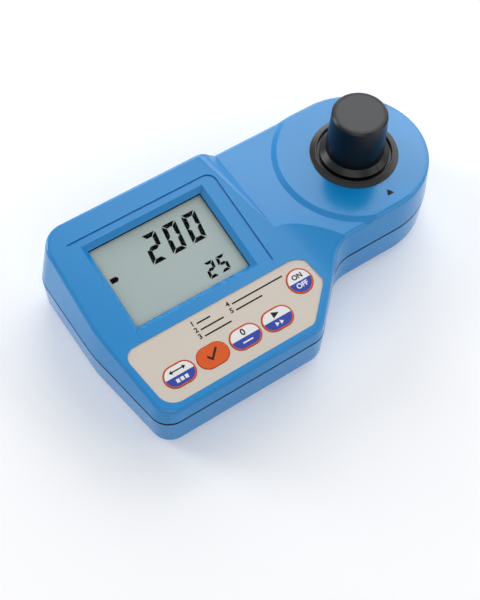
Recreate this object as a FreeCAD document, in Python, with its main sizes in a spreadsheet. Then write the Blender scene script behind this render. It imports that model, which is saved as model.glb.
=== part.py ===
import FreeCAD, Part
import Sketcher
import math
import os
import re

from FreeCAD import Placement, Rotation, Vector

# Driving dimensions in millimetres and degrees. Heights are above the surface that the feet stand on.
SIZES = {
    # case outline, seen from above at the seam between the two shells
    "case_length": 193.0,
    "case_width": 104.0,
    "total_height": 69.0,
    "end_radius": 37.2,
    "far_corner_radius": 12.0,
    "left_bend_place": -3.0,
    "left_bend_radius": 60.0,
    "front_left_setback": 7.3,
    "front_left_radius": 10.0,
    "neck_length": 55.9,
    "front_right_gap": 8.8,
    "front_right_radius": 11.0,
    "waist_radius": 18.0,
    "wall": 2.5,
    "seam_height": 21.5,
    "seam_gap": 0.6,
    "upper_draft_angle": 3.5,
    "left_draft_angle": 10.0,
    "lower_draft_angle": 2.0,
    "overrun": 1.0,
    # top faces: a deck that tilts towards the user, a level neck and a raised disc round the well
    "deck_tilt": 9.5,
    "deck_height": 38.8,
    "neck_height": 38.85,
    "disc_height": 40.2,
    "deck_slope_angle": 45.0,
    "deck_roll_radius": 9.0,
    "scoop_radius": 70.0,
    "scoop_angle": 82.0,
    "riser_foot_radius": 39.6,
    "riser_top_radius": 37.0,
    "riser_band": 3.0,
    "top_edge_round": 2.0,
    # display
    "lcd_left_inset": 20.8,
    "lcd_right_gap": 19.5,
    "lcd_far_inset": 18.6,
    "lcd_front_gap": 8.3,
    "lcd_flare": 2.4,
    "bezel_left_inset": 13.6,
    "bezel_right_gap": 9.5,
    "bezel_far_inset": 12.2,
    "bezel_front_gap": 4.75,
    "bezel_width": 1.0,
    "bezel_depth": 0.8,
    "bezel_round": 5.0,
    "window_thick": 1.5,
    "window_lap": 3.0,
    "glass_thick": 2.6,
    "glass_lap": 1.5,
    "frame_fit": 0.15,
    "contact_height": 4.0,
    "contact_width": 2.2,
    "contact_inset": 1.0,
    # keypad
    "panel_left_inset": 8.2,
    "panel_left_setback": 4.5,
    "panel_front_inset": 3.75,
    "panel_depth": 30.8,
    "panel_right_gap": 2.2,
    "panel_far_left_radius": 5.0,
    "panel_front_left_radius": 8.0,
    "panel_front_right_radius": 5.0,
    "panel_end_radius": 10.3,
    "panel_fit": 0.3,
    "panel_sink": 0.35,
    "overlay_thick": 0.6,
    "spacer_thick": 1.2,
    "circuit_thick": 0.4,
    "panel_floor": 1.5,
    "key_length_share": 0.1884,
    "key_width_share": 0.671,
    "key_pitch_share": 0.2113,
    "first_key_share": 0.2045,
    "key_row_inset": 10.45,
    "power_key_radius": 6.1,
    "key_gap": 0.3,
    "key_proud": 0.3,
    "key_edge_round": 0.2,
    "key_lap": 0.5,
    "key_lap_gap": 0.05,
    "key_lap_thick": 0.3,
    "dome_radius": 3.2,
    "dome_height": 0.35,
    "dome_crown_radius": 1.6,
    # main board
    "board_left_inset": 14.0,
    "board_right_gap": 12.4,
    "board_lap": 0.55,
    "board_far_inset": 9.2,
    "board_thick": 1.6,
    "post_radius": 2.4,
    "post_inset": 3.3,
    "pilot_radius": 1.0,
    "chip_side": 14.0,
    "chip_thick": 2.0,
    "chip_inset": 14.0,
    "chip_far_inset": 16.8,
    "socket_length": 8.0,
    "socket_width": 6.0,
    "socket_height": 4.0,
    "battery_socket_inset": 15.8,
    "optic_socket_inset": 1.0,
    "optic_socket_drop": 2.8,
    # well, collar, vial and cap, all on the cuvette axis
    "collar_flange_radius": 21.25,
    "collar_height": 42.0,
    "collar_rim": 0.5,
    "collar_slope": 0.7,
    "collar_edge_round": 0.35,
    "bead_radius": 19.1,
    "bead_round": 0.5,
    "collar_tube_radius": 18.3,
    "collar_fit": 0.1,
    "collar_bore_radius": 12.8,
    "vial_radius": 12.3,
    "vial_wall": 1.2,
    "vial_floor": 2.0,
    "vial_gap": 0.3,
    "vial_shoulder": 45.0,
    "vial_shoulder_round": 2.0,
    "vial_foot_round": 1.5,
    "vial_neck_radius": 10.9,
    "vial_neck_wall": 1.6,
    "stopper_fit": 0.08,
    "stopper_depth": 7.0,
    "stopper_flange": 1.2,
    "stopper_wall": 1.4,
    "cap_top_radius": 13.05,
    "cap_base_radius": 14.1,
    "cap_roof": 3.7,
    "cap_chamfer": 0.9,
    "cap_seat_gap": 0.05,
    "cap_bore_gap": 0.3,
    "brim_radius": 16.7,
    "brim_bottom": 40.5,
    "brim_edge": 1.9,
    "brim_rise": 2.3,
    "brim_gap": 1.1,
    # optical block under the well
    "block_half_length": 27.0,
    "block_half_width": 16.0,
    "block_top": 33.0,
    "block_floor": 1.0,
    "beam_height": 20.0,
    "aperture_radius": 2.2,
    "web_radius": 14.8,
    "lens_radius": 4.0,
    "lens_thick": 2.4,
    "lamp_radius": 2.5,
    "lamp_flange_radius": 2.9,
    "lamp_flange": 1.0,
    "lamp_length": 7.6,
    "filter_radius": 5.0,
    "filter_thick": 4.0,
    "detector_radius": 4.1,
    "detector_length": 4.5,
    "optic_fit": 0.1,
    "optic_board_side": 20.0,
    "optic_board_thick": 1.4,
    "ear_thick": 3.0,
    "ear_radius": 4.0,
    "ear_reach": 20.5,
    "ear_spread": 20.0,
    "ear_stand": 3.0,
    "ribbon_height": 26.5,
    "ribbon_width": 7.0,
    "ribbon_thick": 0.8,
    # lower shell, feet and battery
    "foot_stand": 1.5,
    "foot_radius": 5.0,
    "foot_sink": 0.5,
    "bottom_round": 4.0,
    "lip_thick": 1.2,
    "lip_reach": 2.0,
    "lip_root": 4.0,
    "lip_gap": 0.8,
    "gasket_setback": 0.35,
    "boss_radius": 3.4,
    "screw_radius": 1.3,
    "screw_fit": 0.05,
    "screw_head_radius": 2.8,
    "screw_head_height": 2.2,
    "screw_head_gap": 0.3,
    "screw_head_sink": 6.0,
    "screw_bite": 5.0,
    "screw_end_gap": 0.5,
    "board_screw_bite": 5.0,
    "cover_inset": 48.5,
    "cover_rise": 3.0,
    "cover_radius": 31.0,
    "cover_gap": 0.3,
    "cover_ring_width": 2.6,
    "lug_reach": 2.6,
    "lug_height": 1.5,
    "lug_lift": 0.2,
    "lug_width": 12.0,
    "notch_gap": 0.6,
    "lug_turn_angle": 50.0,
    "coin_slot_length": 26.0,
    "coin_slot_width": 4.0,
    "coin_slot_depth": 1.4,
    "well_gap": 0.9,
    "well_wall": 2.0,
    "well_height": 19.0,
    "battery_length": 48.5,
    "battery_width": 26.5,
    "battery_height": 17.5,
    "battery_base": 6.0,
    "battery_round": 2.0,
    "battery_fit": 0.4,
    "rib_thick": 1.6,
    "pad_length": 40.0,
    "pad_width": 20.0,
    "snap_depth": 5.0,
    "snap_width": 25.0,
    "snap_height": 12.0,
    "lead_radius": 0.65,
    "lead_spread": 4.0,
    "lead_bend": 3.0,
    "lead_rise": 25.0,
    "lead_end_gap": 0.15,
}

# Sizes and places that follow from the driving dimensions
SUMS = {
    "deck_end": "case_length / 2 - end_radius - neck_length",
    "front_right_place": "deck_end - front_right_gap",
    "panel_left": "-case_length / 2 + panel_left_inset",
    "panel_front": "-case_width / 2 + panel_front_inset",
    "panel_far": "panel_front + panel_depth",
    "panel_right_place": "front_right_place - panel_right_gap",
    "panel_length": "panel_right_place - panel_left",
    "key_length": "panel_length * key_length_share",
    "key_width": "key_length * key_width_share",
    "key_pitch": "panel_length * key_pitch_share",
    "first_key_place": "panel_left + panel_length * first_key_share",
    "key_row_rise": "panel_front + key_row_inset",
    "power_key_place": "panel_right_place + panel_depth - panel_end_radius * (1 + sqrt(2))",
    "power_key_rise": "panel_far - panel_end_radius",
    "lcd_left": "-case_length / 2 + lcd_left_inset",
    "lcd_right": "deck_end - lcd_right_gap",
    "lcd_front": "panel_far + lcd_front_gap",
    "lcd_far": "case_width / 2 - lcd_far_inset",
    "bezel_left": "-case_length / 2 + bezel_left_inset",
    "bezel_right": "deck_end - bezel_right_gap",
    "bezel_front": "panel_far + bezel_front_gap",
    "bezel_far": "case_width / 2 - bezel_far_inset",
    "board_left": "-case_length / 2 + board_left_inset",
    "board_right": "deck_end - board_right_gap",
    "board_front": "panel_far - board_lap",
    "board_far": "case_width / 2 - board_far_inset",
    "chip_place": "board_left + chip_inset",
    "chip_rise": "board_far - chip_far_inset",
    "cover_place": "-case_length / 2 + cover_inset",
    "lead_place": "cover_place + battery_length / 2 + snap_depth / 2",
    "battery_socket_rise": "board_far - battery_socket_inset",
    "optic_socket_rise": "case_width / 2 - end_radius - optic_socket_drop",
    "vial_top": "total_height - cap_roof - stopper_flange - 2 * cap_seat_gap",
    "well_radius": "cover_radius + lug_reach + well_gap",
}

doc = FreeCAD.newDocument("colorimeter")
sheet = doc.addObject("Spreadsheet::Sheet", "Sizes")
for row, (alias, number) in enumerate(SIZES.items(), start=1):
    sheet.set("A%d" % row, alias)
    sheet.set("B%d" % row, str(number))
    sheet.setAlias("B%d" % row, alias)
doc.recompute()


def linked(text):
    """The text of a sum, with the name of each size turned into a link to its cell."""
    def link(word):
        name = word.group()
        if name in SUMS:
            return "(%s)" % linked(SUMS[name])
        return "Sizes." + name if name in SIZES else name

    return re.sub(r"[a-z_]+", link, text)


def worth(text):
    """What the text of a sum comes to."""
    answer = sheet.evalExpression(linked(text))
    return float(getattr(answer, "Value", answer))


def bind(thing, **sums):
    for path, text in sums.items():
        thing.setExpression(path.replace("__", "."), linked(text))


# Places that several pieces share, as sums of the driving dimensions
END_X = "(case_length / 2 - end_radius)"
END_Y = "(case_width / 2 - end_radius)"
LEFT = "(-case_length / 2)"
FAR = "(case_width / 2)"
FRONT = "(-case_width / 2)"
NEAR = "(case_width / 2 - 2 * end_radius)"
WAIST_X = "(front_right_place + case_width - 2 * end_radius)"
TOE_Y = "((neck_height - deck_height) / tan(deck_tilt))"
FLOOR = "(foot_stand + wall)"
WINDOW_TOP = "(-wall)"
GLASS_TOP = "(-wall - window_thick)"
CONTACT_TOP = "(-wall - window_thick - glass_thick)"
BOARD_TOP = "(-wall - window_thick - glass_thick - contact_height)"
BOARD_LOW = "(-wall - window_thick - glass_thick - contact_height - board_thick)"
OVERLAY_LOW = "(-panel_sink - overlay_thick)"
SPACER_LOW = "(-panel_sink - overlay_thick - spacer_thick)"
PANEL_LOW = "(-panel_sink - overlay_thick - spacer_thick - circuit_thick)"
WELL_FLOOR = "(foot_stand + wall + block_floor)"
VIAL_LOW = "(foot_stand + wall + block_floor + vial_gap)"
CAP_CEILING = "(vial_top + stopper_flange + 2 * cap_seat_gap)"
DECK_CEILING = "(deck_height + (%s) * tan(deck_tilt) - wall)"
KEYPAD_CEILING = "(deck_height + (%s) * tan(deck_tilt) + (" + PANEL_LOW + " - panel_floor) / cos(deck_tilt))"
LEFT_SCREW_Y = FAR + " - 4 * wall"
FRONT_SCREW_Y = "panel_front + 4 * wall"
CORNER_SCREW_Y = "panel_front + 3 * wall"
# place of each case screw, with the height of the ceiling over its boss
CASE_SCREWS = [
    (LEFT + " + 4 * wall", LEFT_SCREW_Y, DECK_CEILING % LEFT_SCREW_Y),
    ("panel_left + 4 * wall", FRONT_SCREW_Y, KEYPAD_CEILING % FRONT_SCREW_Y),
    ("front_right_place", CORNER_SCREW_Y, KEYPAD_CEILING % CORNER_SCREW_Y),
    (END_X + " + boss_radius", END_Y + " + end_radius - 3.5 * wall", "(neck_height - wall)"),
    (END_X + " + boss_radius", END_Y + " - end_radius + 3.5 * wall", "(neck_height - wall)"),
]
BOARD_POSTS = [(x, y) for x in ("(board_left + post_inset)", "(board_right - post_inset)")
               for y in ("(board_front + post_inset)", "(board_far - post_inset)")]
EARS = [(END_X + " - ear_spread", END_Y + " + ear_reach"), (END_X + " + ear_spread", END_Y + " - ear_reach")]
FEET = [
    (LEFT + " + 5 * foot_radius", FAR + " - 2 * foot_radius"),
    (LEFT + " + 7 * foot_radius", FRONT + " + 2 * foot_radius"),
    ("front_right_place - 3 * foot_radius", FRONT + " + 2 * foot_radius"),
    (END_X + " + 3 * foot_radius", END_Y + " + 4 * foot_radius"),
    (END_X + " + 3 * foot_radius", END_Y + " - 4 * foot_radius"),
]


# a normal that points left further than this is that of a left wall, and points this close are the same
FACES_LEFT = 0.9
NEARBY = 0.01


# Sketch and feature helpers
def new_body(name, x="0", y="0", z="0"):
    body = doc.addObject("PartDesign::Body", name)
    bind(body, Placement__Base__x=x, Placement__Base__y=y, Placement__Base__z=z)
    return body


def deck_body(name):
    """A body whose XY plane is the tilted deck, with its origin on the deck above the middle of the case."""
    body = doc.addObject("PartDesign::Body", name)
    body.Placement = Placement(Vector(), Rotation(Vector(1, 0, 0), worth("deck_tilt")))
    bind(body, Placement__Base__z="deck_height", Placement__Rotation__Angle="deck_tilt")
    return body


def origin_plane(body, role):
    return [plane for plane in body.Origin.OriginFeatures if plane.Role == role][0]


def new_sketch(body, name, role="XY_Plane", lift="0", shift="0"):
    sketch = body.newObject("Sketcher::SketchObject", name)
    sketch.AttachmentSupport = [(origin_plane(body, role), "")]
    sketch.MapMode = "FlatFace"
    bind(sketch, AttachmentOffset__Base__x=shift, AttachmentOffset__Base__z=lift)
    return sketch


def deck_sketch(body, name, sink="0"):
    """A sketch on the tilted deck plane of a body that stands level, or that far below it."""
    sketch = new_sketch(body, name)
    sketch.AttachmentOffset = Placement(Vector(), Rotation(Vector(1, 0, 0), worth("deck_tilt")))
    bind(sketch, AttachmentOffset__Base__y="(%s) * sin(deck_tilt)" % sink,
         AttachmentOffset__Base__z="deck_height - (%s) * cos(deck_tilt)" % sink,
         AttachmentOffset__Rotation__Angle="deck_tilt")
    return sketch


def fix(sketch, kind, places, text):
    number = sketch.addConstraint(Sketcher.Constraint(kind, *places, worth(text)))
    sketch.setExpression("Constraints[%d]" % number, linked(text))


def outline(sketch, corners):
    """Closed outline through sharp corners, each (x, y, radius or None), rounded where it has a radius."""
    points = [Vector(worth(x), worth(y), 0) for x, y, radius in corners]
    count = len(corners)
    starts, ends, arcs = [], [], {}
    for i, (x, y, radius) in enumerate(corners):
        here, before, after = points[i], points[i - 1], points[(i + 1) % count]
        if not radius:
            ends.append(here)
            starts.append(here)
            continue
        inward, onward = (before - here).normalize(), (after - here).normalize()
        half = inward.getAngle(onward) / 2
        reach = worth(radius) / math.tan(half)
        first, last = here + inward * reach, here + onward * reach
        centre = here + (inward + onward).normalize() * (worth(radius) / math.sin(half))
        middle = centre + (here - centre).normalize() * worth(radius)
        ends.append(first)
        starts.append(last)
        clockwise = inward.cross(onward).z > 0
        arcs[i] = (Part.Arc(last, middle, first), 2, 1) if clockwise else (Part.Arc(first, middle, last), 1, 2)
    lines = [sketch.addGeometry(Part.LineSegment(starts[i], ends[(i + 1) % count])) for i in range(count)]
    for i, (x, y, radius) in enumerate(corners):
        line_in, line_out = lines[i - 1], lines[i]
        if not radius:
            sketch.addConstraint(Sketcher.Constraint("Coincident", line_in, 2, line_out, 1))
            fix(sketch, "DistanceX", (-1, 1, line_out, 1), x)
            fix(sketch, "DistanceY", (-1, 1, line_out, 1), y)
            continue
        curve, entry, leave = arcs[i]
        arc = sketch.addGeometry(curve)
        sketch.addConstraint(Sketcher.Constraint("Tangent", line_in, 2, arc, entry))
        sketch.addConstraint(Sketcher.Constraint("Tangent", arc, leave, line_out, 1))
        fix(sketch, "Radius", (arc,), radius)
        corner = sketch.addGeometry(Part.Point(points[i]), True)
        sketch.addConstraint(Sketcher.Constraint("PointOnObject", corner, 1, line_in))
        sketch.addConstraint(Sketcher.Constraint("PointOnObject", corner, 1, line_out))
        fix(sketch, "DistanceX", (-1, 1, corner, 1), x)
        fix(sketch, "DistanceY", (-1, 1, corner, 1), y)
    return sketch


def rectangle(sketch, left, front, right, far, radius=None):
    return outline(sketch, [(left, front, radius), (right, front, radius), (right, far, radius), (left, far, radius)])


def circle(sketch, x, y, radius):
    ring = sketch.addGeometry(Part.Circle(Vector(worth(x), worth(y), 0), Vector(0, 0, 1), worth(radius)))
    fix(sketch, "Radius", (ring,), radius)
    fix(sketch, "DistanceX", (-1, 1, ring, 3), x)
    fix(sketch, "DistanceY", (-1, 1, ring, 3), y)
    return sketch


def stadium(sketch, x, y, length, width):
    """A slot shape along X: two straight sides with half-round ends."""
    half, radius = "((%s) - (%s)) / 2" % (length, width), "(%s) / 2" % width
    left, right = "%s - %s" % (x, half), "%s + %s" % (x, half)
    r = worth(radius)
    ends = []
    for place, start in ((right, -math.pi / 2), (left, math.pi / 2)):
        ring = Part.Circle(Vector(worth(place), worth(y), 0), Vector(0, 0, 1), r)
        arc = Part.ArcOfCircle(ring, start, start + math.pi)
        number = sketch.addGeometry(arc)
        fix(sketch, "DistanceX", (-1, 1, number, 3), place)
        fix(sketch, "DistanceY", (-1, 1, number, 3), y)
        ends.append(number)
    fix(sketch, "Radius", (ends[0],), radius)
    for here, there in (ends, ends[::-1]):
        start, finish = sketch.Geometry[here].EndPoint, sketch.Geometry[there].StartPoint
        side = sketch.addGeometry(Part.LineSegment(start, finish))
        sketch.addConstraint(Sketcher.Constraint("Tangent", here, 2, side, 1))
        sketch.addConstraint(Sketcher.Constraint("Tangent", side, 2, there, 1))
    return sketch


def feature(body, kind, name, sketch, length=None, **settings):
    item = body.newObject("PartDesign::" + kind, name)
    item.Profile = sketch
    if length:
        bind(item, Length=length)
    for key, value in settings.items():
        setattr(item, key, value)
    doc.recompute()
    return item


def revolve(body, kind, name, sketch):
    item = body.newObject("PartDesign::" + kind, name)
    item.Profile = sketch
    item.ReferenceAxis = (sketch, ["V_Axis"])
    doc.recompute()
    return item


def middle_normal(face):
    low_u, high_u, low_v, high_v = face.ParameterRange
    return face.normalAt((low_u + high_u) / 2, (low_v + high_v) / 2)


def level_faces(shape, height):
    return ["Face%d" % number for number, face in enumerate(shape.Faces, start=1)
            if face.BoundBox.ZLength < NEARBY and abs(face.CenterOfMass.z - height) < NEARBY]


def draft_sides(body, block, angle, neutral, wanted=lambda normal: True):
    """Lean the wanted upright faces of the block inwards, from the level where its outline is drawn."""
    sides = ["Face%d" % number for number, face in enumerate(block.Shape.Faces, start=1)
             if abs(middle_normal(face).z) < 0.5 and wanted(middle_normal(face))]
    before = block.Shape.Volume
    lean = body.newObject("PartDesign::Draft", block.Name + "_draft")
    lean.Base = (block, sides)
    lean.NeutralPlane = (block, level_faces(block.Shape, worth(neutral))[:1])
    bind(lean, Angle=angle)
    doc.recompute()
    if lean.Shape.Volume > before:
        lean.Reversed = True
        doc.recompute()
    return lean


def round_edges(body, name, base, edges, radius):
    item = body.newObject("PartDesign::Fillet", name)
    item.Base = (base, edges)
    bind(item, Radius=radius)
    doc.recompute()
    return item


def hollow_out(body, name, tool):
    item = body.newObject("PartDesign::Boolean", name)
    item.Type = "Cut"
    item.setObjects([tool])
    doc.recompute()
    return item


def turned(name, profile, x=END_X, y=END_Y):
    """A piece turned about the upright line through x, y, from (radius, height, rounding) corners."""
    body = new_body(name, x, y)
    sketch = outline(new_sketch(body, name + "_profile", "XZ_Plane"), profile)
    revolve(body, "Revolution", name + "_turn", sketch)
    return body


def plate(name, low, high, draw):
    """A flat piece on the tilted deck between two levels, with the outlines that draw puts in its sketch."""
    body = deck_body(name)
    sketch = new_sketch(body, name + "_plan", lift=low)
    draw(sketch)
    feature(body, "Pad", name + "_pad", sketch, "(%s) - (%s)" % (high, low))
    return body


def group(name, members):
    bundle = doc.addObject("Part::Compound", name)
    bundle.Links = members
    return bundle


def cylinder(name, x, y, low, high, radius):
    rod = doc.addObject("Part::Cylinder", name)
    bind(rod, Radius=radius, Height="(%s) - (%s)" % (high, low))
    bind(rod, Placement__Base__x=x, Placement__Base__y=y, Placement__Base__z=low)
    return rod


def beam_rod(name, start, length, radius):
    """A rod along the light beam, which runs along X through the cuvette axis."""
    rod = doc.addObject("Part::Cylinder", name)
    rod.Placement = Placement(Vector(), Rotation(Vector(0, 0, 1), Vector(1, 0, 0)))
    bind(rod, Radius=radius, Height=length)
    bind(rod, Placement__Base__x=start, Placement__Base__y=END_Y, Placement__Base__z="beam_height")
    return rod


def box(name, low, sizes):
    block = doc.addObject("Part::Box", name)
    bind(block, Length=sizes[0], Width=sizes[1], Height=sizes[2])
    bind(block, Placement__Base__x=low[0], Placement__Base__y=low[1], Placement__Base__z=low[2])
    return block


def cut(name, base, tools):
    item = doc.addObject("Part::Cut", name)
    item.Base = base
    item.Tool = tools[0] if len(tools) == 1 else fuse(name + "_tools", tools)
    return item


def fuse(name, members):
    item = doc.addObject("Part::MultiFuse", name)
    item.Shapes = members
    return item


# Outlines used by more than one piece
def left_corners(inset):
    """The corners at the left of the case seen from above, with their rounding, drawn in by the inset."""
    inset = "(%s)" % inset
    lean = "(front_left_setback / (left_bend_place - %s))" % FRONT
    slant = "(sqrt(1 + %s ^ 2) * %s)" % (lean, inset)
    return [
        ("%s + %s" % (LEFT, inset), "%s - %s" % (FAR, inset), "far_corner_radius - " + inset),
        ("%s + %s" % (LEFT, inset), "left_bend_place + (%s - %s) / %s" % (slant, inset, lean),
         "left_bend_radius - " + inset),
        ("%s + front_left_setback + %s - %s * %s" % (LEFT, slant, inset, lean), "%s + %s" % (FRONT, inset),
         "front_left_radius - " + inset),
    ]


def case_outline(sketch, inset="0", square_left=False):
    """The case seen from above, drawn in from its outer face by the inset, without the round end."""
    left = [(x, y, None if square_left else radius) for x, y, radius in left_corners(inset)]
    inset = "(%s)" % inset
    return outline(sketch, left + [
        ("front_right_place - %s * (sqrt(2) - 1)" % inset, "%s + %s" % (FRONT, inset),
         "front_right_radius - " + inset),
        ("%s - %s * (sqrt(2) - 1)" % (WAIST_X, inset), "%s + %s" % (NEAR, inset), "waist_radius + " + inset),
        (END_X, "%s + %s" % (NEAR, inset), None),
        (END_X, "%s - %s" % (FAR, inset), None),
    ])


def case_block(body, name, low, height, inset="0", downward=False, square_left=False):
    plan = case_outline(new_sketch(body, name + "_plan", lift=low), inset, square_left)
    feature(body, "Pad", name + "_main", plan, height, Reversed=downward)
    ring = circle(new_sketch(body, name + "_end_plan", lift=low), END_X, END_Y, "end_radius - (%s)" % inset)
    return feature(body, "Pad", name + "_end", ring, height, Reversed=downward)


def upper_block(body, name, low, inset="0"):
    """The upper half of the case: walls that lean in, the left ones further, and rounded corners at the left."""
    block = case_block(body, name, low, "neck_height", inset, square_left=True)
    block = draft_sides(body, block, "upper_draft_angle", low, lambda normal: normal.x > -FACES_LEFT)
    block = draft_sides(body, block, "left_draft_angle", low, lambda normal: normal.x < -FACES_LEFT)
    for number, (x, y, radius) in enumerate(left_corners(inset), start=1):
        foot = Vector(worth(x), worth(y), worth(low))
        edges = ["Edge%d" % place for place, edge in enumerate(block.Shape.Edges, start=1)
                 if edge.BoundBox.ZLength > worth("wall") and edge.distToShape(Part.Vertex(foot))[0] < NEARBY]
        block = round_edges(body, "%s_corner_%d" % (name, number), block, edges, radius)


def panel_outline(sketch, grow="0"):
    """The keypad panel: a round end about the power key, a sloped right side and a leaning left side."""
    grow = "(%s)" % grow
    lean = "(panel_left_setback / (panel_far - panel_front))"
    slant = "(sqrt(1 + %s ^ 2) * %s)" % (lean, grow)
    acute = "(panel_right_place + panel_far - panel_front)"
    return outline(sketch, [
        ("panel_left - %s - %s * %s" % (slant, grow, lean), "panel_far + " + grow, "panel_far_left_radius + " + grow),
        ("panel_left + panel_left_setback - %s + %s * %s" % (slant, grow, lean), "panel_front - " + grow,
         "panel_front_left_radius + " + grow),
        ("panel_right_place + %s * (sqrt(2) - 1)" % grow, "panel_front - " + grow,
         "panel_front_right_radius + " + grow),
        ("%s + %s * (sqrt(2) + 1)" % (acute, grow), "panel_far + " + grow, "panel_end_radius + " + grow),
    ])


KEYS = {
    "power_key": ("power_key_place", "power_key_rise", "2 * power_key_radius", "2 * power_key_radius"),
    "range_key": ("first_key_place", "key_row_rise", "key_length", "key_width"),
    "check_key": ("first_key_place + key_pitch", "key_row_rise", "key_length", "key_width"),
    "zero_key": ("first_key_place + 2 * key_pitch", "key_row_rise", "key_length", "key_width"),
    "read_key": ("first_key_place + 3 * key_pitch", "key_row_rise", "key_length", "key_width"),
}


def key_outline(sketch, key, grow="0"):
    x, y, length, width = KEYS[key]
    if key == "power_key":
        return circle(sketch, x, y, "power_key_radius + " + grow)
    return stadium(sketch, x, y, "%s + 2 * (%s)" % (length, grow), "%s + 2 * (%s)" % (width, grow))


# Upper shell
def upper_hollow():
    """The space inside the upper shell: the case drawn in by a wall, under the deck and under the neck."""
    body = new_body("upper_hollow")
    mouth = "seam_height - overrun"
    upper_block(body, "hollow", mouth, "wall")
    side = deck_sketch(body, "hollow_deck", "wall")
    rectangle(side, "-case_length", "-case_length", "case_length", "case_length")
    feature(body, "Pocket", "hollow_deck_cut", side, Type=1, Reversed=True)
    ceiling = new_sketch(body, "hollow_neck", lift="neck_height - wall")
    start = "deck_end - (deck_height - neck_height + case_width / 2 * tan(deck_tilt)) / tan(deck_slope_angle)"
    rectangle(ceiling, start + " - 2 * wall", "-case_width", "case_length", "case_width")
    feature(body, "Pocket", "hollow_neck_cut", ceiling, Type=1, Reversed=True)
    keypad = deck_sketch(body, "hollow_keypad", PANEL_LOW + " * -1 + panel_floor")
    panel_outline(keypad, "wall")
    feature(body, "Pocket", "hollow_keypad_cut", keypad, Type=1, Reversed=True)
    return body


def shape_deck(body):
    """The tilted deck, which ends at the neck and, in front of it, along the scoop."""
    region = deck_sketch(body, "deck_region")
    outline(region, [
        ("-case_length", "case_width", None),
        ("-case_length", "-case_width", None),
        ("deck_end + (case_width + %s) / tan(scoop_angle)" % TOE_Y, "-case_width / cos(deck_tilt)", None),
        ("deck_end", TOE_Y + " / cos(deck_tilt)", None),
        ("deck_end", "case_width", None),
    ])
    feature(body, "Pocket", "deck_cut", region, Type=1, Reversed=True)


def shape_neck(body):
    """The level neck and the disc that stands above it on a sloped riser."""
    end_side = new_sketch(body, "end_side", "XZ_Plane")
    rectangle(end_side, "deck_end", "disc_height", "case_length", "case_length")
    feature(body, "Pocket", "end_cut", end_side, Type=1, Midplane=True)
    neck_plan = new_sketch(body, "neck_plan", lift="neck_height")
    rectangle(neck_plan, "deck_end", "-case_width", "case_length", "case_width")
    circle(neck_plan, END_X, END_Y, "riser_foot_radius")
    feature(body, "Pocket", "neck_cut", neck_plan, Type=1, Reversed=True)
    riser = new_sketch(body, "riser_profile", "XZ_Plane", lift="-" + END_Y, shift=END_X)
    run = "(riser_foot_radius - riser_top_radius) / (disc_height - neck_height)"
    outline(riser, [
        ("riser_foot_radius", "neck_height", None),
        ("riser_foot_radius + riser_band", "disc_height + overrun", None),
        ("riser_top_radius - %s * overrun" % run, "disc_height + overrun", None),
    ])
    revolve(body, "Groove", "riser", riser)


def shape_roll(body):
    """The deck's right edge rolls over into a slope that runs out to nothing where deck and neck are level."""
    plane = "(case_width / 2 + overrun)"
    top = "(deck_height + %s * tan(deck_tilt))" % plane
    edge = "(deck_end - (%s - neck_height) / tan(deck_slope_angle))" % top
    profile = new_sketch(body, "roll_profile", "XZ_Plane", lift="-" + plane)
    outline(profile, [
        ("deck_end", "neck_height", None),
        ("deck_end", top + " + overrun", None),
        (edge + " - deck_roll_radius", top + " + overrun", None),
        (edge + " - deck_roll_radius", top, None),
        (edge, top, "deck_roll_radius"),
    ])
    toe = new_sketch(body, "roll_toe", "XZ_Plane", lift="-" + TOE_Y)
    dot = toe.addGeometry(Part.Point(Vector(worth("deck_end"), worth("neck_height"), 0)), False)
    fix(toe, "DistanceX", (-1, 1, dot, 1), "deck_end")
    fix(toe, "DistanceY", (-1, 1, dot, 1), "neck_height")
    doc.recompute()
    loft = body.newObject("PartDesign::SubtractiveLoft", "deck_roll")
    loft.Profile = profile
    loft.Sections = [(toe, [""])]
    loft.Ruled = True
    doc.recompute()


def shape_scoop(body):
    """The hollow that leads from the neck down to the keypad: a cylinder that lies along the deck."""
    tilt, turn = math.radians(worth("deck_tilt")), math.radians(worth("scoop_angle"))
    along = Vector(math.cos(turn), -math.sin(turn), -math.sin(turn) * math.tan(tilt)).normalize()
    up = Vector(0, -math.sin(tilt), math.cos(tilt))
    toe = Vector(worth("deck_end"), worth(TOE_Y), worth("neck_height"))
    scoop = body.newObject("PartDesign::SubtractiveCylinder", "scoop")
    scoop.AttachmentSupport = [(origin_plane(body, "XY_Plane"), "")]
    scoop.MapMode = "FlatFace"
    scoop.AttachmentOffset = Placement(toe + up * worth("scoop_radius"), Rotation(Vector(0, 0, 1), along))
    bind(scoop, Radius="scoop_radius", Height="case_width")
    doc.recompute()


def top_edges(shape):
    """The edges where a top face meets a side wall."""
    names = []
    for number, edge in enumerate(shape.Edges, start=1):
        middle = edge.valueAt((edge.FirstParameter + edge.LastParameter) / 2)
        normals = [face.normalAt(*face.Surface.parameter(middle)) for face in shape.ancestorsOfType(edge, Part.Face)]
        upright = [normal for normal in normals if abs(normal.z) < 0.2]
        facing_up = [normal for normal in normals if normal.z > 0.5]
        if len(upright) == 1 and len(facing_up) == 1:
            names.append("Edge%d" % number)
    return names


def open_display(body):
    """The opening over the display, with sloped sides from the deck down to the window."""
    flare = "(lcd_flare / wall)"
    top = deck_sketch(body, "display_top", "-overrun")
    low = deck_sketch(body, "display_low", "wall + overrun")
    for sketch, grow in ((top, flare + " * (wall + overrun)"), (low, "-1 * %s * overrun" % flare)):
        lcd_rectangle(sketch, grow)
    doc.recompute()
    loft = body.newObject("PartDesign::SubtractiveLoft", "display_opening")
    loft.Profile = top
    loft.Sections = [(low, [""])]
    loft.Ruled = True
    doc.recompute()


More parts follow.
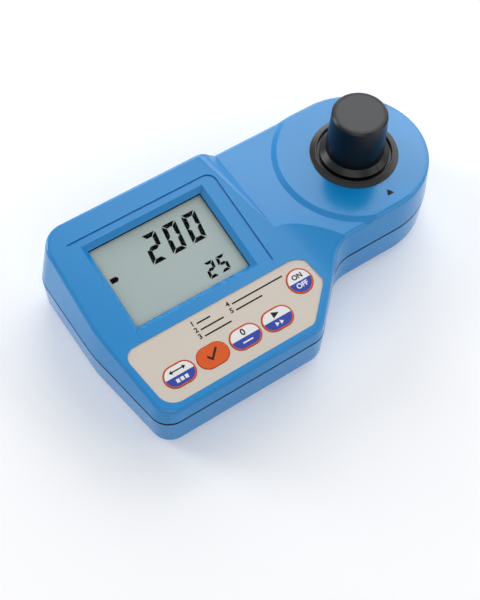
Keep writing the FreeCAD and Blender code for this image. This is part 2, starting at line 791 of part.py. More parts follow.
def cut_bezel(body):
    """A groove that turns a corner behind and to the right of the display."""
    groove = deck_sketch(body, "bezel_plan")
    outline(groove, [
        ("bezel_left", "bezel_far", None),
        ("bezel_left", "bezel_far - bezel_width", None),
        ("bezel_right - bezel_width", "bezel_far - bezel_width", "bezel_round - bezel_width"),
        ("bezel_right - bezel_width", "bezel_front", None),
        ("bezel_right", "bezel_front", None),
        ("bezel_right", "bezel_far", "bezel_round"),
    ])
    feature(body, "Pocket", "bezel_groove", groove, "bezel_depth")


def add_posts(body):
    """Posts that carry the main board, and bosses for the screws that join the shells."""
    posts = deck_sketch(body, "post_plan", "-1 * " + BOARD_TOP)
    pilots = deck_sketch(body, "post_pilot_plan", "-1 * " + BOARD_TOP)
    for x, y in BOARD_POSTS:
        circle(posts, x, y, "post_radius")
        circle(pilots, x, y, "pilot_radius + screw_fit")
    feature(body, "Pad", "board_posts", posts, "-1 * %s - wall / 2" % BOARD_TOP)
    feature(body, "Pocket", "post_pilots", pilots, "board_screw_bite", Reversed=True)
    holes = new_sketch(body, "boss_pilot_plan", lift="seam_height")
    for number, (x, y, ceiling) in enumerate(CASE_SCREWS, start=1):
        boss = circle(new_sketch(body, "upper_boss_plan_%d" % number, lift="seam_height"), x, y, "boss_radius")
        feature(body, "Pad", "upper_boss_%d" % number, boss, ceiling + " + wall / 2 - seam_height")
        circle(holes, x, y, "screw_radius + screw_fit")
    feature(body, "Pocket", "boss_pilots", holes, "screw_bite", Reversed=True)


def upper_shell():
    hollow = upper_hollow()
    body = new_body("upper_shell")
    upper_block(body, "case", "seam_height")
    shape_deck(body)
    shape_neck(body)
    shape_roll(body)
    shape_scoop(body)
    round_edges(body, "top_rounds", body.Tip, top_edges(body.Shape), "top_edge_round")
    hollow_out(body, "hollowing", hollow)
    add_posts(body)
    open_display(body)
    cut_bezel(body)
    recess = panel_outline(deck_sketch(body, "panel_plan"), "panel_fit")
    feature(body, "Pocket", "panel_recess", recess, "-1 * " + PANEL_LOW)
    mouth = circle(new_sketch(body, "well_plan", lift="disc_height"), END_X, END_Y, "collar_tube_radius + collar_fit")
    feature(body, "Pocket", "well_mouth", mouth, Type=1)
    return body


def lower_hollow():
    """The space inside the lower shell, from its floor up."""
    body = new_body("lower_hollow")
    block = case_block(body, "lower_space", "seam_height", "seam_height - " + FLOOR, "wall", downward=True)
    draft_sides(body, block, "lower_draft_angle", "seam_height")
    return body


def add_lip(body):
    """The lip that stands inside the upper shell's wall, behind the gasket."""
    rim = "(seam_height - seam_gap)"
    case_block(body, "lip_root", rim, "lip_root", "wall / 2", downward=True)
    case_block(body, "lip_band", rim, "seam_gap + lip_reach", "wall + lip_gap")
    plan = case_outline(new_sketch(body, "lip_inner_plan", lift=rim + " + seam_gap + lip_reach"),
                        "wall + lip_gap + lip_thick")
    feature(body, "Pocket", "lip_inner", plan, "seam_gap + lip_reach + lip_root")
    ring = circle(new_sketch(body, "lip_end_plan", lift=rim + " + seam_gap + lip_reach"), END_X, END_Y,
                  "end_radius - wall - lip_gap - lip_thick")
    feature(body, "Pocket", "lip_inner_end", ring, "seam_gap + lip_reach + lip_root")


def add_battery_well(body):
    """A round wall and ribs that hold the battery, over the hole and the ledge for the twist cover."""
    wall_plan = new_sketch(body, "battery_well_plan", lift=FLOOR + " - wall / 2")
    circle(wall_plan, "cover_place", "cover_rise", "well_radius + well_wall")
    circle(wall_plan, "cover_place", "cover_rise", "well_radius")
    feature(body, "Pad", "battery_well", wall_plan, "well_height - %s + wall / 2" % FLOOR)
    rib_plan = new_sketch(body, "battery_rib_plan", lift="battery_base + lug_height")
    side = "(battery_width / 2 + battery_fit)"
    reach = "sqrt((well_radius + well_wall / 2) ^ 2 - (%s + rib_thick) ^ 2)" % side
    for front, far in ((side, side + " + rib_thick"), ("-%s - rib_thick" % side, "-" + side)):
        rectangle(rib_plan, "cover_place - " + reach, "cover_rise + " + front, "cover_place + " + reach,
                  "cover_rise + " + far)
    feature(body, "Pad", "battery_ribs", rib_plan, "well_height - battery_base - lug_height")
    stop_plan = new_sketch(body, "battery_stop_plan", lift="battery_base + lug_height")
    end = "cover_place - battery_length / 2 - battery_fit"
    rectangle(stop_plan, end + " - rib_thick", "cover_rise - " + side, end, "cover_rise + " + side)
    feature(body, "Pad", "battery_stop", stop_plan, "well_height - battery_base - lug_height")
    hole = circle(new_sketch(body, "cover_hole_plan", lift=FLOOR), "cover_place", "cover_rise",
                  "cover_radius + cover_gap")
    feature(body, "Pocket", "cover_hole", hole, "wall")
    notch = new_sketch(body, "notch_plan", lift=FLOOR, shift="cover_place")
    bind(notch, AttachmentOffset__Base__y="cover_rise")
    turn = Rotation(Vector(0, 0, 1), -worth("lug_turn_angle"))
    notch.AttachmentOffset = Placement(notch.AttachmentOffset.Base, turn)
    half = "lug_width / 2 + notch_gap"
    rectangle(notch, "cover_radius - cover_ring_width", "-1 * (%s)" % half,
              "cover_radius + lug_reach + notch_gap", half)
    repeat(body, feature(body, "Pocket", "notch", notch, "wall"), notch)


def repeat(body, item, sketch):
    """Three of a feature, spaced evenly round the origin of its sketch."""
    ring = body.newObject("PartDesign::PolarPattern", item.Name + "_ring")
    ring.Originals = [item]
    ring.Axis = (sketch, ["N_Axis"])
    ring.Angle = 360
    ring.Occurrences = 3
    body.Tip = ring
    doc.recompute()


def lower_shell():
    hollow = lower_hollow()
    body = new_body("lower_shell")
    rim = "(seam_height - seam_gap)"
    block = case_block(body, "base", rim, rim + " - foot_stand", downward=True)
    lean = draft_sides(body, block, "lower_draft_angle", rim)
    low = worth("foot_stand")
    edges = ["Edge%d" % number for number, edge in enumerate(lean.Shape.Edges, start=1)
             if edge.BoundBox.ZMax < low + 0.01]
    round_edges(body, "bottom_rounds", lean, edges, "bottom_round")
    hollow_out(body, "base_hollowing", hollow)
    add_lip(body)
    add_battery_well(body)
    bosses = new_sketch(body, "boss_plan", lift=FLOOR + " - wall / 2")
    for x, y, ceiling in CASE_SCREWS:
        circle(bosses, x, y, "boss_radius")
    feature(body, "Pad", "bosses", bosses, "seam_height - %s + wall / 2" % FLOOR)
    heads = new_sketch(body, "head_plan", lift="foot_stand")
    shanks = new_sketch(body, "shank_plan", lift="foot_stand")
    for x, y, ceiling in CASE_SCREWS:
        circle(heads, x, y, "screw_head_radius + screw_head_gap")
        circle(shanks, x, y, "screw_radius + screw_head_gap")
    feature(body, "Pocket", "head_holes", heads, "screw_head_sink", Reversed=True)
    feature(body, "Pocket", "shank_holes", shanks, Type=1, Reversed=True)
    stands = new_sketch(body, "stand_plan", lift=FLOOR + " - wall / 2")
    pilots = new_sketch(body, "stand_pilot_plan", lift=FLOOR + " + ear_stand")
    for x, y in EARS:
        circle(stands, x, y, "ear_radius")
        circle(pilots, x, y, "screw_radius + screw_fit")
    feature(body, "Pad", "ear_stands", stands, "ear_stand + wall / 2")
    feature(body, "Pocket", "ear_pilots", pilots, "screw_bite")
    soles = new_sketch(body, "foot_plan", lift="foot_stand")
    for x, y in FEET:
        circle(soles, x, y, "foot_radius")
    feature(body, "Pocket", "foot_recesses", soles, "foot_sink", Reversed=True)
    return body


def case_gasket():
    """A thin rubber ring pressed between the two shells, which shows as the dark line all round the case."""
    body = new_body("case_gasket")
    case_block(body, "gasket", "seam_height - seam_gap", "seam_gap", "gasket_setback")
    inner = case_outline(new_sketch(body, "gasket_inner_plan", lift="seam_height"), "wall - gasket_setback")
    feature(body, "Pocket", "gasket_inner", inner, "seam_gap")
    ring = circle(new_sketch(body, "gasket_end_plan", lift="seam_height"), END_X, END_Y,
                  "end_radius - wall + gasket_setback")
    feature(body, "Pocket", "gasket_inner_end", ring, "seam_gap")
    return body


# Display pieces, all on the tilted deck
def lcd_rectangle(sketch, grow):
    return rectangle(sketch, "lcd_left - (%s)" % grow, "lcd_front - (%s)" % grow, "lcd_right + (%s)" % grow,
                     "lcd_far + (%s)" % grow)


def display():
    plate("lcd_window", GLASS_TOP, WINDOW_TOP, lambda sketch: lcd_rectangle(sketch, "window_lap"))
    plate("lcd_glass", CONTACT_TOP, GLASS_TOP, lambda sketch: lcd_rectangle(sketch, "glass_lap"))

    def frame_plan(sketch):
        lcd_rectangle(sketch, "window_lap")
        lcd_rectangle(sketch, "glass_lap + frame_fit")

    plate("lcd_frame", BOARD_TOP, GLASS_TOP, frame_plan)
    strips = []
    for side, front in (("front", "lcd_front - glass_lap + contact_inset"),
                        ("far", "lcd_far + glass_lap - contact_inset - contact_width")):
        strips.append(plate("contact_strip_" + side, BOARD_TOP, CONTACT_TOP, lambda sketch: rectangle(
            sketch, "lcd_left", front, "lcd_right", front + " + contact_width")))
    group("zebra_connectors", strips)


# Keypad pieces
def key_piece(key):
    """A key with a thin lap under the overlay that keeps it from coming out."""
    body = deck_body(key)
    lap_top = OVERLAY_LOW + " - key_lap_gap"
    lap = key_outline(new_sketch(body, key + "_lap_plan", lift=lap_top), key, "key_lap")
    feature(body, "Pad", key + "_lap", lap, "key_lap_thick", Reversed=True)
    cap = key_outline(new_sketch(body, key + "_cap_plan", lift=lap_top), key)
    top = feature(body, "Pad", key + "_cap", cap, "key_proud - panel_sink - (%s)" % lap_top)
    crown = max(edge.BoundBox.Center.dot(Rotation(Vector(1, 0, 0), worth("deck_tilt")).multVec(Vector(0, 0, 1)))
                for edge in top.Shape.Edges)
    edges = ["Edge%d" % number for number, edge in enumerate(top.Shape.Edges, start=1)
             if edge.BoundBox.Center.dot(Rotation(Vector(1, 0, 0), worth("deck_tilt")).multVec(Vector(0, 0, 1)))
             > crown - 0.01]
    round_edges(body, key + "_rounds", top, edges, "key_edge_round")
    return body


def dome(key):
    x, y, length, width = KEYS[key]
    body = deck_body(key + "_dome")
    profile = new_sketch(body, key + "_dome_profile", "XZ_Plane", lift="-1 * (%s)" % y, shift=x)
    top = SPACER_LOW + " + dome_height"
    outline(profile, [("0", SPACER_LOW, None), ("dome_radius", SPACER_LOW, None),
                      ("dome_crown_radius", top, None), ("0", top, None)])
    revolve(body, "Revolution", key + "_dome_turn", profile)
    return body


def keypad():
    def overlay_plan(sketch):
        panel_outline(sketch)
        for key in KEYS:
            key_outline(sketch, key, "key_gap")

    def spacer_plan(sketch):
        panel_outline(sketch)
        for key in KEYS:
            key_outline(sketch, key, "key_lap + key_gap")

    plate("keypad_overlay", OVERLAY_LOW, "-panel_sink", overlay_plan)
    plate("spacer_layer", SPACER_LOW, OVERLAY_LOW, spacer_plan)
    plate("switch_circuit", PANEL_LOW, SPACER_LOW, panel_outline)
    group("dome_switches", [dome(key) for key in KEYS])
    for key in KEYS:
        key_piece(key)


# Main board with its parts
def electronics():
    def board_plan(sketch):
        rectangle(sketch, "board_left", "board_front", "board_right", "board_far")
        for x, y in BOARD_POSTS:
            circle(sketch, x, y, "pilot_radius + screw_fit")

    plate("main_board", BOARD_LOW, BOARD_TOP, board_plan)
    plate("controller_chip", BOARD_LOW + " - chip_thick", BOARD_LOW, lambda sketch: rectangle(
        sketch, "chip_place - chip_side / 2", "chip_rise - chip_side / 2",
        "chip_place + chip_side / 2", "chip_rise + chip_side / 2"))
    sockets = []
    optic_right = "board_right - optic_socket_inset"
    for name, left, front, right, far in (
            ("battery_socket", "lead_place - socket_length / 2", "battery_socket_rise - socket_width / 2",
             "lead_place + socket_length / 2", "battery_socket_rise + socket_width / 2"),
            ("optic_socket", optic_right + " - socket_width", "optic_socket_rise - socket_length / 2",
             optic_right, "optic_socket_rise + socket_length / 2")):
        sockets.append(plate(name, BOARD_LOW + " - socket_height", BOARD_LOW, lambda sketch: rectangle(
            sketch, left, front, right, far)))
    group("board_sockets", sockets)
    screws = []
    for number, (x, y) in enumerate(BOARD_POSTS, start=1):
        body = deck_body("board_screw_%d" % number)
        head = circle(new_sketch(body, "board_head_plan_%d" % number, lift=BOARD_LOW), x, y, "post_radius")
        feature(body, "Pad", "board_head_%d" % number, head, "chip_thick", Reversed=True)
        shank = circle(new_sketch(body, "board_shank_plan_%d" % number, lift=BOARD_LOW), x, y, "pilot_radius")
        feature(body, "Pad", "board_shank_%d" % number, shank, "board_thick + board_screw_bite - screw_end_gap")
        screws.append(body)
    group("board_screws", screws)


# Well: collar, vial, stopper and cap, turned about the cuvette axis
def well_pieces():
    ledge = "(brim_bottom - cap_seat_gap)"
    turned("collar", [
        ("collar_bore_radius", "block_top", None),
        ("collar_tube_radius", "block_top", None),
        ("collar_tube_radius", "disc_height", None),
        ("collar_flange_radius", "disc_height", None),
        ("collar_flange_radius", "disc_height + collar_rim", "collar_edge_round"),
        ("bead_radius", "disc_height + collar_rim + collar_slope", None),
        ("bead_radius", "collar_height", "bead_round"),
        ("brim_radius + brim_gap", "collar_height", "bead_round"),
        ("brim_radius + brim_gap", ledge, None),
        ("collar_bore_radius", ledge, None),
    ])
    inner, neck_inner = "(vial_radius - vial_wall)", "(vial_neck_radius - vial_neck_wall)"
    slope = "(vial_radius - vial_neck_radius)"
    turned("vial", [
        ("0", VIAL_LOW, None),
        ("vial_radius", VIAL_LOW, "vial_foot_round"),
        ("vial_radius", "vial_shoulder", "vial_shoulder_round"),
        ("vial_neck_radius", "vial_shoulder + " + slope, "vial_shoulder_round"),
        ("vial_neck_radius", "vial_top", None),
        (neck_inner, "vial_top", None),
        (neck_inner, "vial_shoulder + %s - vial_wall" % slope, "vial_shoulder_round"),
        (inner, "vial_shoulder - vial_wall", "vial_shoulder_round"),
        (inner, VIAL_LOW + " + vial_floor", "vial_foot_round"),
        ("0", VIAL_LOW + " + vial_floor", None),
    ])
    plug = "(%s - stopper_fit)" % neck_inner
    rim = "(vial_top + cap_seat_gap)"
    turned("stopper", [
        ("0", rim, None),
        (plug + " - stopper_wall", rim, None),
        (plug + " - stopper_wall", rim + " - stopper_depth", None),
        (plug, rim + " - stopper_depth", None),
        (plug, rim, None),
        ("vial_neck_radius", rim, None),
        ("vial_neck_radius", rim + " + stopper_flange", None),
        ("0", rim + " + stopper_flange", None),
    ])
    brim_top = "(brim_bottom + brim_edge + brim_rise)"
    bore = "(vial_neck_radius + cap_bore_gap)"
    mouth = "(vial_radius + cap_bore_gap)"
    step = "(vial_shoulder + 2 * %s)" % slope
    turned("cap", [
        (mouth, "brim_bottom", None),
        ("brim_radius", "brim_bottom", None),
        ("brim_radius", "brim_bottom + brim_edge", None),
        ("cap_base_radius", brim_top, None),
        ("cap_top_radius", "total_height - cap_chamfer", None),
        ("cap_top_radius - cap_chamfer", "total_height", None),
        ("0", "total_height", None),
        ("0", CAP_CEILING, None),
        (bore, CAP_CEILING, None),
        (bore, step, None),
        (mouth, step, None),
    ])


# Optical block with the lamp on one side of the vial and the detector on the other
def optics():
    left, right = END_X + " - block_half_length", END_X + " + block_half_length"
    base = box("block_base", (left, END_Y + " - block_half_width", FLOOR),
               ("2 * block_half_length", "2 * block_half_width", "block_top - " + FLOOR))
    solids = [base]
    ear_low, ear_high = FLOOR + " + ear_stand", FLOOR + " + ear_stand + ear_thick"
    holes = [
        cylinder("bore_space", END_X, END_Y, WELL_FLOOR, "block_top + overrun", "vial_radius + vial_gap"),
        beam_rod("aperture_space", END_X + " - web_radius - overrun", "2 * web_radius + 2 * overrun",
                 "aperture_radius"),
        beam_rod("lamp_space", END_X + " + web_radius", "block_half_length", "lens_radius + optic_fit"),
        beam_rod("filter_space", END_X + " - web_radius - block_half_length", "block_half_length",
                 "filter_radius + optic_fit"),
    ]
    screws = []
    for number, ((x, y), inner) in enumerate(zip(EARS, ("-1 * ear_reach", "0")), start=1):
        solids.append(cylinder("ear_round_%d" % number, x, y, ear_low, ear_high, "ear_radius"))
        solids.append(box("ear_bridge_%d" % number, (x + " - ear_radius", y + " + " + inner, ear_low),
                          ("2 * ear_radius", "ear_reach", "ear_thick")))
        holes.append(cylinder("ear_hole_%d" % number, x, y, ear_low + " - overrun", ear_high + " + overrun",
                              "screw_radius + screw_head_gap"))
        head = cylinder("optic_head_%d" % number, x, y, ear_high, ear_high + " + screw_head_height",
                        "screw_head_radius")
        shank = cylinder("optic_shank_%d" % number, x, y, ear_low + " - screw_bite + screw_end_gap", ear_high,
                         "screw_radius")
        screws.append(fuse("optic_screw_%d" % number, [head, shank]))
    cut("optical_block", fuse("block_solids", solids), holes)
    group("optic_screws", screws)
    beam_rod("beam_lens", END_X + " + web_radius", "lens_thick", "lens_radius")
    flange = beam_rod("lamp_flange_rod", right + " - lamp_flange", "lamp_flange", "lamp_flange_radius")
    bulb = beam_rod("lamp_bulb", right + " - lamp_length", "lamp_length", "lamp_radius")
    fuse("lamp", [flange, bulb])
    beam_rod("colour_filter", END_X + " - web_radius - filter_thick", "filter_thick", "filter_radius")
    beam_rod("detector", left, "detector_length", "detector_radius")
    for name, place in (("lamp_board", right), ("detector_board", left + " - optic_board_thick")):
        box(name, (place, END_Y + " - optic_board_side / 2", "beam_height - optic_board_side / 2"),
            ("optic_board_thick", "optic_board_side", "optic_board_side"))
    start = "(board_right - optic_socket_inset)"
    box("optic_ribbon", (start, END_Y + " - ribbon_width / 2", "ribbon_height"),
        (left + " - optic_board_thick - " + start, "ribbon_width", "ribbon_thick"))


# Battery with its cover, pad, snap and leads
def power_pieces():
    body = new_body("battery_cover", "cover_place", "cover_rise")
    disc = circle(new_sketch(body, "cover_plan", lift="foot_stand"), "0", "0", "cover_radius")
    feature(body, "Pad", "cover_disc", disc, "wall")
    ring = circle(new_sketch(body, "cover_ring_plan", lift=FLOOR), "0", "0", "cover_radius - cover_gap")
    circle(ring, "0", "0", "cover_radius - cover_gap - cover_ring_width")
    feature(body, "Pad", "cover_ring", ring, "lug_lift + lug_height")
    lug = new_sketch(body, "lug_plan", lift=FLOOR + " + lug_lift")
    rectangle(lug, "cover_radius - cover_gap - cover_ring_width / 2", "-lug_width / 2",
              "cover_radius + lug_reach", "lug_width / 2")
    repeat(body, feature(body, "Pad", "lug", lug, "lug_height"), lug)
    slot = stadium(new_sketch(body, "coin_slot_plan", lift="foot_stand"), "0", "0", "coin_slot_length",
                   "coin_slot_width")
    feature(body, "Pocket", "coin_slot", slot, "coin_slot_depth", Reversed=True)
    box("battery_pad", ("cover_place - pad_length / 2", "cover_rise - pad_width / 2", FLOOR),
        ("pad_length", "pad_width", "battery_base - " + FLOOR))
    body = new_body("battery", "cover_place - battery_length / 2", "cover_rise", "battery_base")
    side = rectangle(new_sketch(body, "battery_side", "YZ_Plane"), "-battery_width / 2", "0", "battery_width / 2",
                     "battery_height", "battery_round")
    feature(body, "Pad", "battery_can", side, "battery_length")
    snap_low = "battery_base + (battery_height - snap_height) / 2"
    box("battery_snap", ("cover_place + battery_length / 2", "cover_rise - snap_width / 2", snap_low),
        ("snap_depth", "snap_width", "snap_height"))
    leads = []
    low = snap_low + " + snap_height"
    face = "battery_socket_rise - socket_width / 2"
    finish = "((%s - (lead_rise - deck_height) * sin(deck_tilt)) / cos(deck_tilt) - lead_end_gap)" % face
    for number, side in enumerate(("-", "+"), start=1):
        y = "(cover_rise %s lead_spread / 2)" % side
        lead = doc.addObject("Part::Feature", "lead_%d" % number)
        lead.Shape = lead_shape(worth("lead_place"), worth(y), worth(low), worth(finish))
        leads.append(lead)
    group("battery_leads", leads)


def lead_shape(x, y, low, finish):
    """A wire that rises from the snap, turns through a quarter circle and runs level to the socket."""
    bend, height, radius = worth("lead_bend"), worth("lead_rise"), worth("lead_radius")
    turn = Vector(x, y + bend * (1 - math.sqrt(0.5)), height - bend * (1 - math.sqrt(0.5)))
    corner, leave = Vector(x, y, height - bend), Vector(x, y + bend, height)
    path = Part.Wire([
        Part.makeLine(Vector(x, y, low), corner),
        Part.Arc(corner, turn, leave).toShape(),
        Part.makeLine(leave, Vector(x, finish, height)),
    ])
    section = Part.Wire([Part.makeCircle(radius, Vector(x, y, low), Vector(0, 0, 1))])
    return path.makePipeShell([section], True, False)


# Screws from below that hold the shells together, and rubber feet
def case_hardware():
    screws, feet = [], []
    seat = "foot_stand + screw_head_sink"
    for number, (x, y, ceiling) in enumerate(CASE_SCREWS, start=1):
        head = cylinder("case_head_%d" % number, x, y, seat + " - screw_head_height", seat, "screw_head_radius")
        shank = cylinder("case_shank_%d" % number, x, y, seat, "seam_height + screw_bite - screw_end_gap",
                         "screw_radius")
        screws.append(fuse("case_screw_%d" % number, [head, shank]))
    for number, (x, y) in enumerate(FEET, start=1):
        feet.append(cylinder("foot_%d" % number, x, y, "0", "foot_stand + foot_sink", "foot_radius"))
    group("case_screws", screws)
    group("feet", feet)


NODES = [
    "upper_shell", "lower_shell", "case_gasket", "lcd_window", "lcd_glass", "lcd_frame", "zebra_connectors",
    "keypad_overlay",
    "spacer_layer", "switch_circuit", "dome_switches", "power_key", "range_key", "check_key", "zero_key", "read_key",
    "main_board", "controller_chip", "board_sockets", "board_screws", "collar", "vial", "stopper", "cap",
    "optical_block", "optic_screws", "beam_lens", "lamp", "lamp_board", "colour_filter", "detector",
    "detector_board", "optic_ribbon", "battery", "battery_cover", "battery_pad", "battery_snap", "battery_leads",
    "case_screws", "feet",
]

upper_shell()
lower_shell()
case_gasket()
display()
keypad()
electronics()
well_pieces()
optics()
power_pieces()
case_hardware()
doc.recompute()

# Every piece is checked before any file is written
faults = ["%s: %s" % (item.Name, item.getStatusString()) for item in doc.Objects
          if "Invalid" in item.State or "Error" in item.State]
for name in NODES:
    shape = doc.getObject(name).Shape
    if shape.isNull() or not shape.isValid() or not shape.Solids:
        faults.append(name + ": no valid solid")
if faults:
    raise RuntimeError("; ".join(faults))

os.makedirs("parts", exist_ok=True)
for name in NODES:
    shape = doc.getObject(name).Shape
    shape.exportStep("parts/%s.step" % name)
    print("%s: %d solids, %.0f cubic mm" % (name, len(shape.Solids), shape.Volume))
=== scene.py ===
import math

import bmesh
import bpy
from mathutils import Matrix, Quaternion, Vector


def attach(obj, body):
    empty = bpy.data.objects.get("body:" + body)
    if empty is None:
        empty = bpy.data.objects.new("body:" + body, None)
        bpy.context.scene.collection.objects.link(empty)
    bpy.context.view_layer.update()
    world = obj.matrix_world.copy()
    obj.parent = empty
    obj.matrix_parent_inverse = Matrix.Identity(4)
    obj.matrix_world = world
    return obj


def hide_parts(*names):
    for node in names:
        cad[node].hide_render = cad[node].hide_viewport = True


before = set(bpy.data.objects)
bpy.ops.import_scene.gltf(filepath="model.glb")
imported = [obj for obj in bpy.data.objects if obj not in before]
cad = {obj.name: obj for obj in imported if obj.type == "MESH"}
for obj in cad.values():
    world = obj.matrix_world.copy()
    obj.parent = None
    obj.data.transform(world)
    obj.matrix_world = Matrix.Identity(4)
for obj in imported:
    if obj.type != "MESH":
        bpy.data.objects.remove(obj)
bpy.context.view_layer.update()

MM = 0.001

# Places on the tilted deck, in millimetres: u along the case, v up the slope, w square to the deck
DECK_TILT = math.radians(9.5)
DECK_HEIGHT = 38.8
DISPLAY_LEVEL = -3.97
PANEL_LEVEL = -0.35
KEY_LEVEL = -0.05
PRINT_LIFT = 0.02

# The axis of the well, and the level faces round it
WELL_X, WELL_Y = 59.3, 14.8
DISC_HEIGHT = 40.2
CAP_TOP = 69.0


def on_deck(u, v, w):
    """A place on the deck, in metres in the frame of the CAD model."""
    y = v * math.cos(DECK_TILT) - w * math.sin(DECK_TILT)
    z = DECK_HEIGHT + v * math.sin(DECK_TILT) + w * math.cos(DECK_TILT)
    return Vector((u, y, z)) * MM


# Nodes and colours
# a Mix node has several sockets of one name, so its two colours and its result are taken by number
MIX_FIRST, MIX_SECOND, MIX_RESULT = 6, 7, 2
# width of a drift of colour, in grains
DRIFT = 40


def add(tree, kind, inputs=None, **settings):
    """Adds a node, with its settings and with a value or a link for each input, by name or by number."""
    node = tree.nodes.new(kind)
    for name, value in settings.items():
        setattr(node, name, value)
    for name, value in (inputs or {}).items():
        if isinstance(value, bpy.types.NodeSocket):
            tree.links.new(value, node.inputs[name])
        else:
            node.inputs[name].default_value = value
    return node


def linear(code):
    """Linear colour with alpha from an sRGB hex code such as 0585C2, by the sRGB curve."""
    parts = [int(code[i:i + 2], 16) / 255 for i in (0, 2, 4)]
    return tuple(c / 12.92 if c <= 0.04045 else ((c + 0.055) / 1.055) ** 2.4 for c in parts) + (1.0,)


def new_material(name, code, roughness, **sockets):
    """A Principled material of one colour, with further shader sockets given by name."""
    material = bpy.data.materials.new(name)
    material.use_nodes = True
    shader = material.node_tree.nodes["Principled BSDF"]
    shader.inputs["Base Color"].default_value = linear(code)
    shader.inputs["Roughness"].default_value = roughness
    for socket, value in sockets.items():
        shader.inputs[socket.replace("_", " ")].default_value = value
    return material


def add_grain(material, size, depth, tint, gloss=0.0):
    """Unevenness of a surface: size and depth of its grain in millimetres, and drift of colour and gloss."""
    tree = material.node_tree
    shader = tree.nodes["Principled BSDF"]
    place = add(tree, "ShaderNodeTexCoord").outputs["Object"]
    fine = add(tree, "ShaderNodeTexNoise", {"Vector": place, "Scale": 1 / (size * MM), "Detail": 2.0})
    bump = add(tree, "ShaderNodeBump", {
        "Height": fine.outputs["Fac"], "Distance": depth * MM, "Strength": 1.0})
    tree.links.new(bump.outputs["Normal"], shader.inputs["Normal"])
    drift_width = DRIFT * size * MM
    broad = add(tree, "ShaderNodeTexNoise", {"Vector": place, "Scale": 1 / drift_width, "Detail": 3.0})
    drift = broad.outputs["Fac"]
    base = shader.inputs["Base Color"].default_value[:3]
    dark = tuple(c * (1 - tint) for c in base) + (1.0,)
    light = tuple(min(1.0, c * (1 + tint)) for c in base) + (1.0,)
    colour = add(tree, "ShaderNodeMix", {0: drift, MIX_FIRST: dark, MIX_SECOND: light}, data_type="RGBA")
    tree.links.new(colour.outputs[MIX_RESULT], shader.inputs["Base Color"])
    if gloss:
        middle = shader.inputs["Roughness"].default_value
        spread = add(tree, "ShaderNodeMapRange", {
            "Value": drift, "To Min": middle * (1 - gloss), "To Max": middle * (1 + gloss)})
        tree.links.new(spread.outputs["Result"], shader.inputs["Roughness"])


# Materials, each with what it gives the eye
# grains near 0.1 mm on the real surfaces are drawn at 0.2 to 0.6 mm, so that they show in the picture
# ABS moulded in mid blue: an even satin sheen over a fine spark-eroded grain
abs_blue = new_material("abs_blue_moulded_satin", "048AD0", roughness=0.20)
add_grain(abs_blue, size=0.5, depth=0.004, tint=0.03, gloss=0.12)
# ABS moulded in black: soft grey lights along its rims and a faint grain
abs_black = new_material("abs_black_moulded_satin", "171615", roughness=0.26, Specular_IOR_Level=0.34)
add_grain(abs_black, size=0.4, depth=0.010, tint=0.10, gloss=0.15)
# acrylic, cast and polished: clear, it only dims the display a little, with a faint wave in its shine
acrylic = new_material("acrylic_clear_cast_polished", "0C1010", roughness=0.04, Alpha=0.05, IOR=1.49)
add_grain(acrylic, size=6.0, depth=0.004, tint=0.05)
# glass of a reflective display: a grey-green sheet with the dull even look of its polariser
display = new_material("lcd_glass_polarised_grey", "C2D2CF", roughness=0.45, Specular_IOR_Level=0.15)
add_grain(display, size=0.3, depth=0.002, tint=0.015)
# liquid crystal segments: dead black, hardly uneven, without any shine of their own
segment_black = new_material("liquid_crystal_dark_segment", "070908", roughness=0.7, Specular_IOR_Level=0.0)
add_grain(segment_black, size=0.3, depth=0.002, tint=0.1)
# polyester film, printed beige on its back: warm and matt, with a fine tooth
overlay = new_material("polyester_film_beige_textured", "DDD3C7", roughness=0.5, Specular_IOR_Level=0.3)
add_grain(overlay, size=0.25, depth=0.004, tint=0.015)
# polyester film, printed orange: a strong colour with a slight sheen
key_orange = new_material("polyester_film_orange_printed", "E25C22", roughness=0.45, Specular_IOR_Level=0.3)
add_grain(key_orange, size=0.25, depth=0.004, tint=0.02)
# polyester film, printed white: clean and a little cooler than the beige
key_white = new_material("polyester_film_white_printed", "F0F0F0", roughness=0.45)
add_grain(key_white, size=0.25, depth=0.004, tint=0.01)
# polyester film, printed royal blue: dense and slightly violet
key_blue = new_material("polyester_film_royal_blue_printed", "3048A8", roughness=0.45, Specular_IOR_Level=0.3)
add_grain(key_blue, size=0.25, depth=0.004, tint=0.02)
# screen ink in black: matt, with crisp edges; it also paints the band of shade round the display's opening
ink_and_shade_black = new_material("screen_ink_and_shade_black_matt", "141416", roughness=0.6, Specular_IOR_Level=0.2)
add_grain(ink_and_shade_black, size=0.2, depth=0.003, tint=0.1)
# polyester film without print: milky and dull
plain_film = new_material("polyester_film_milky", "D9DAD6", roughness=0.45)
add_grain(plain_film, size=0.3, depth=0.003, tint=0.01)
# steel with a zinc plating: bright bluish grey with an uneven, slightly cloudy shine
steel = new_material("steel_zinc_plated", "B9BCC2", roughness=0.32, Metallic=1.0)
add_grain(steel, size=0.2, depth=0.003, tint=0.05, gloss=0.2)
# silicone contact strip, moulded: dull pink
contact_rubber = new_material("silicone_contact_strip_moulded", "B98A8C", roughness=0.6)
add_grain(contact_rubber, size=0.2, depth=0.004, tint=0.1)
# glass-fibre laminate under a green mask: glossy, and mottled by the weave below
laminate = new_material("glass_fibre_laminate_green_masked", "1F6B3C", roughness=0.30)
add_grain(laminate, size=0.6, depth=0.004, tint=0.12)
# epoxy resin, transfer-moulded: dull charcoal with a gritty surface
resin = new_material("epoxy_resin_black_moulded", "1A1A1C", roughness=0.5)
add_grain(resin, size=0.2, depth=0.006, tint=0.1)
# nylon, moulded without pigment: warm white, faintly waxy
nylon = new_material("nylon_natural_moulded", "E6E2D6", roughness=0.4)
add_grain(nylon, size=0.4, depth=0.004, tint=0.03)
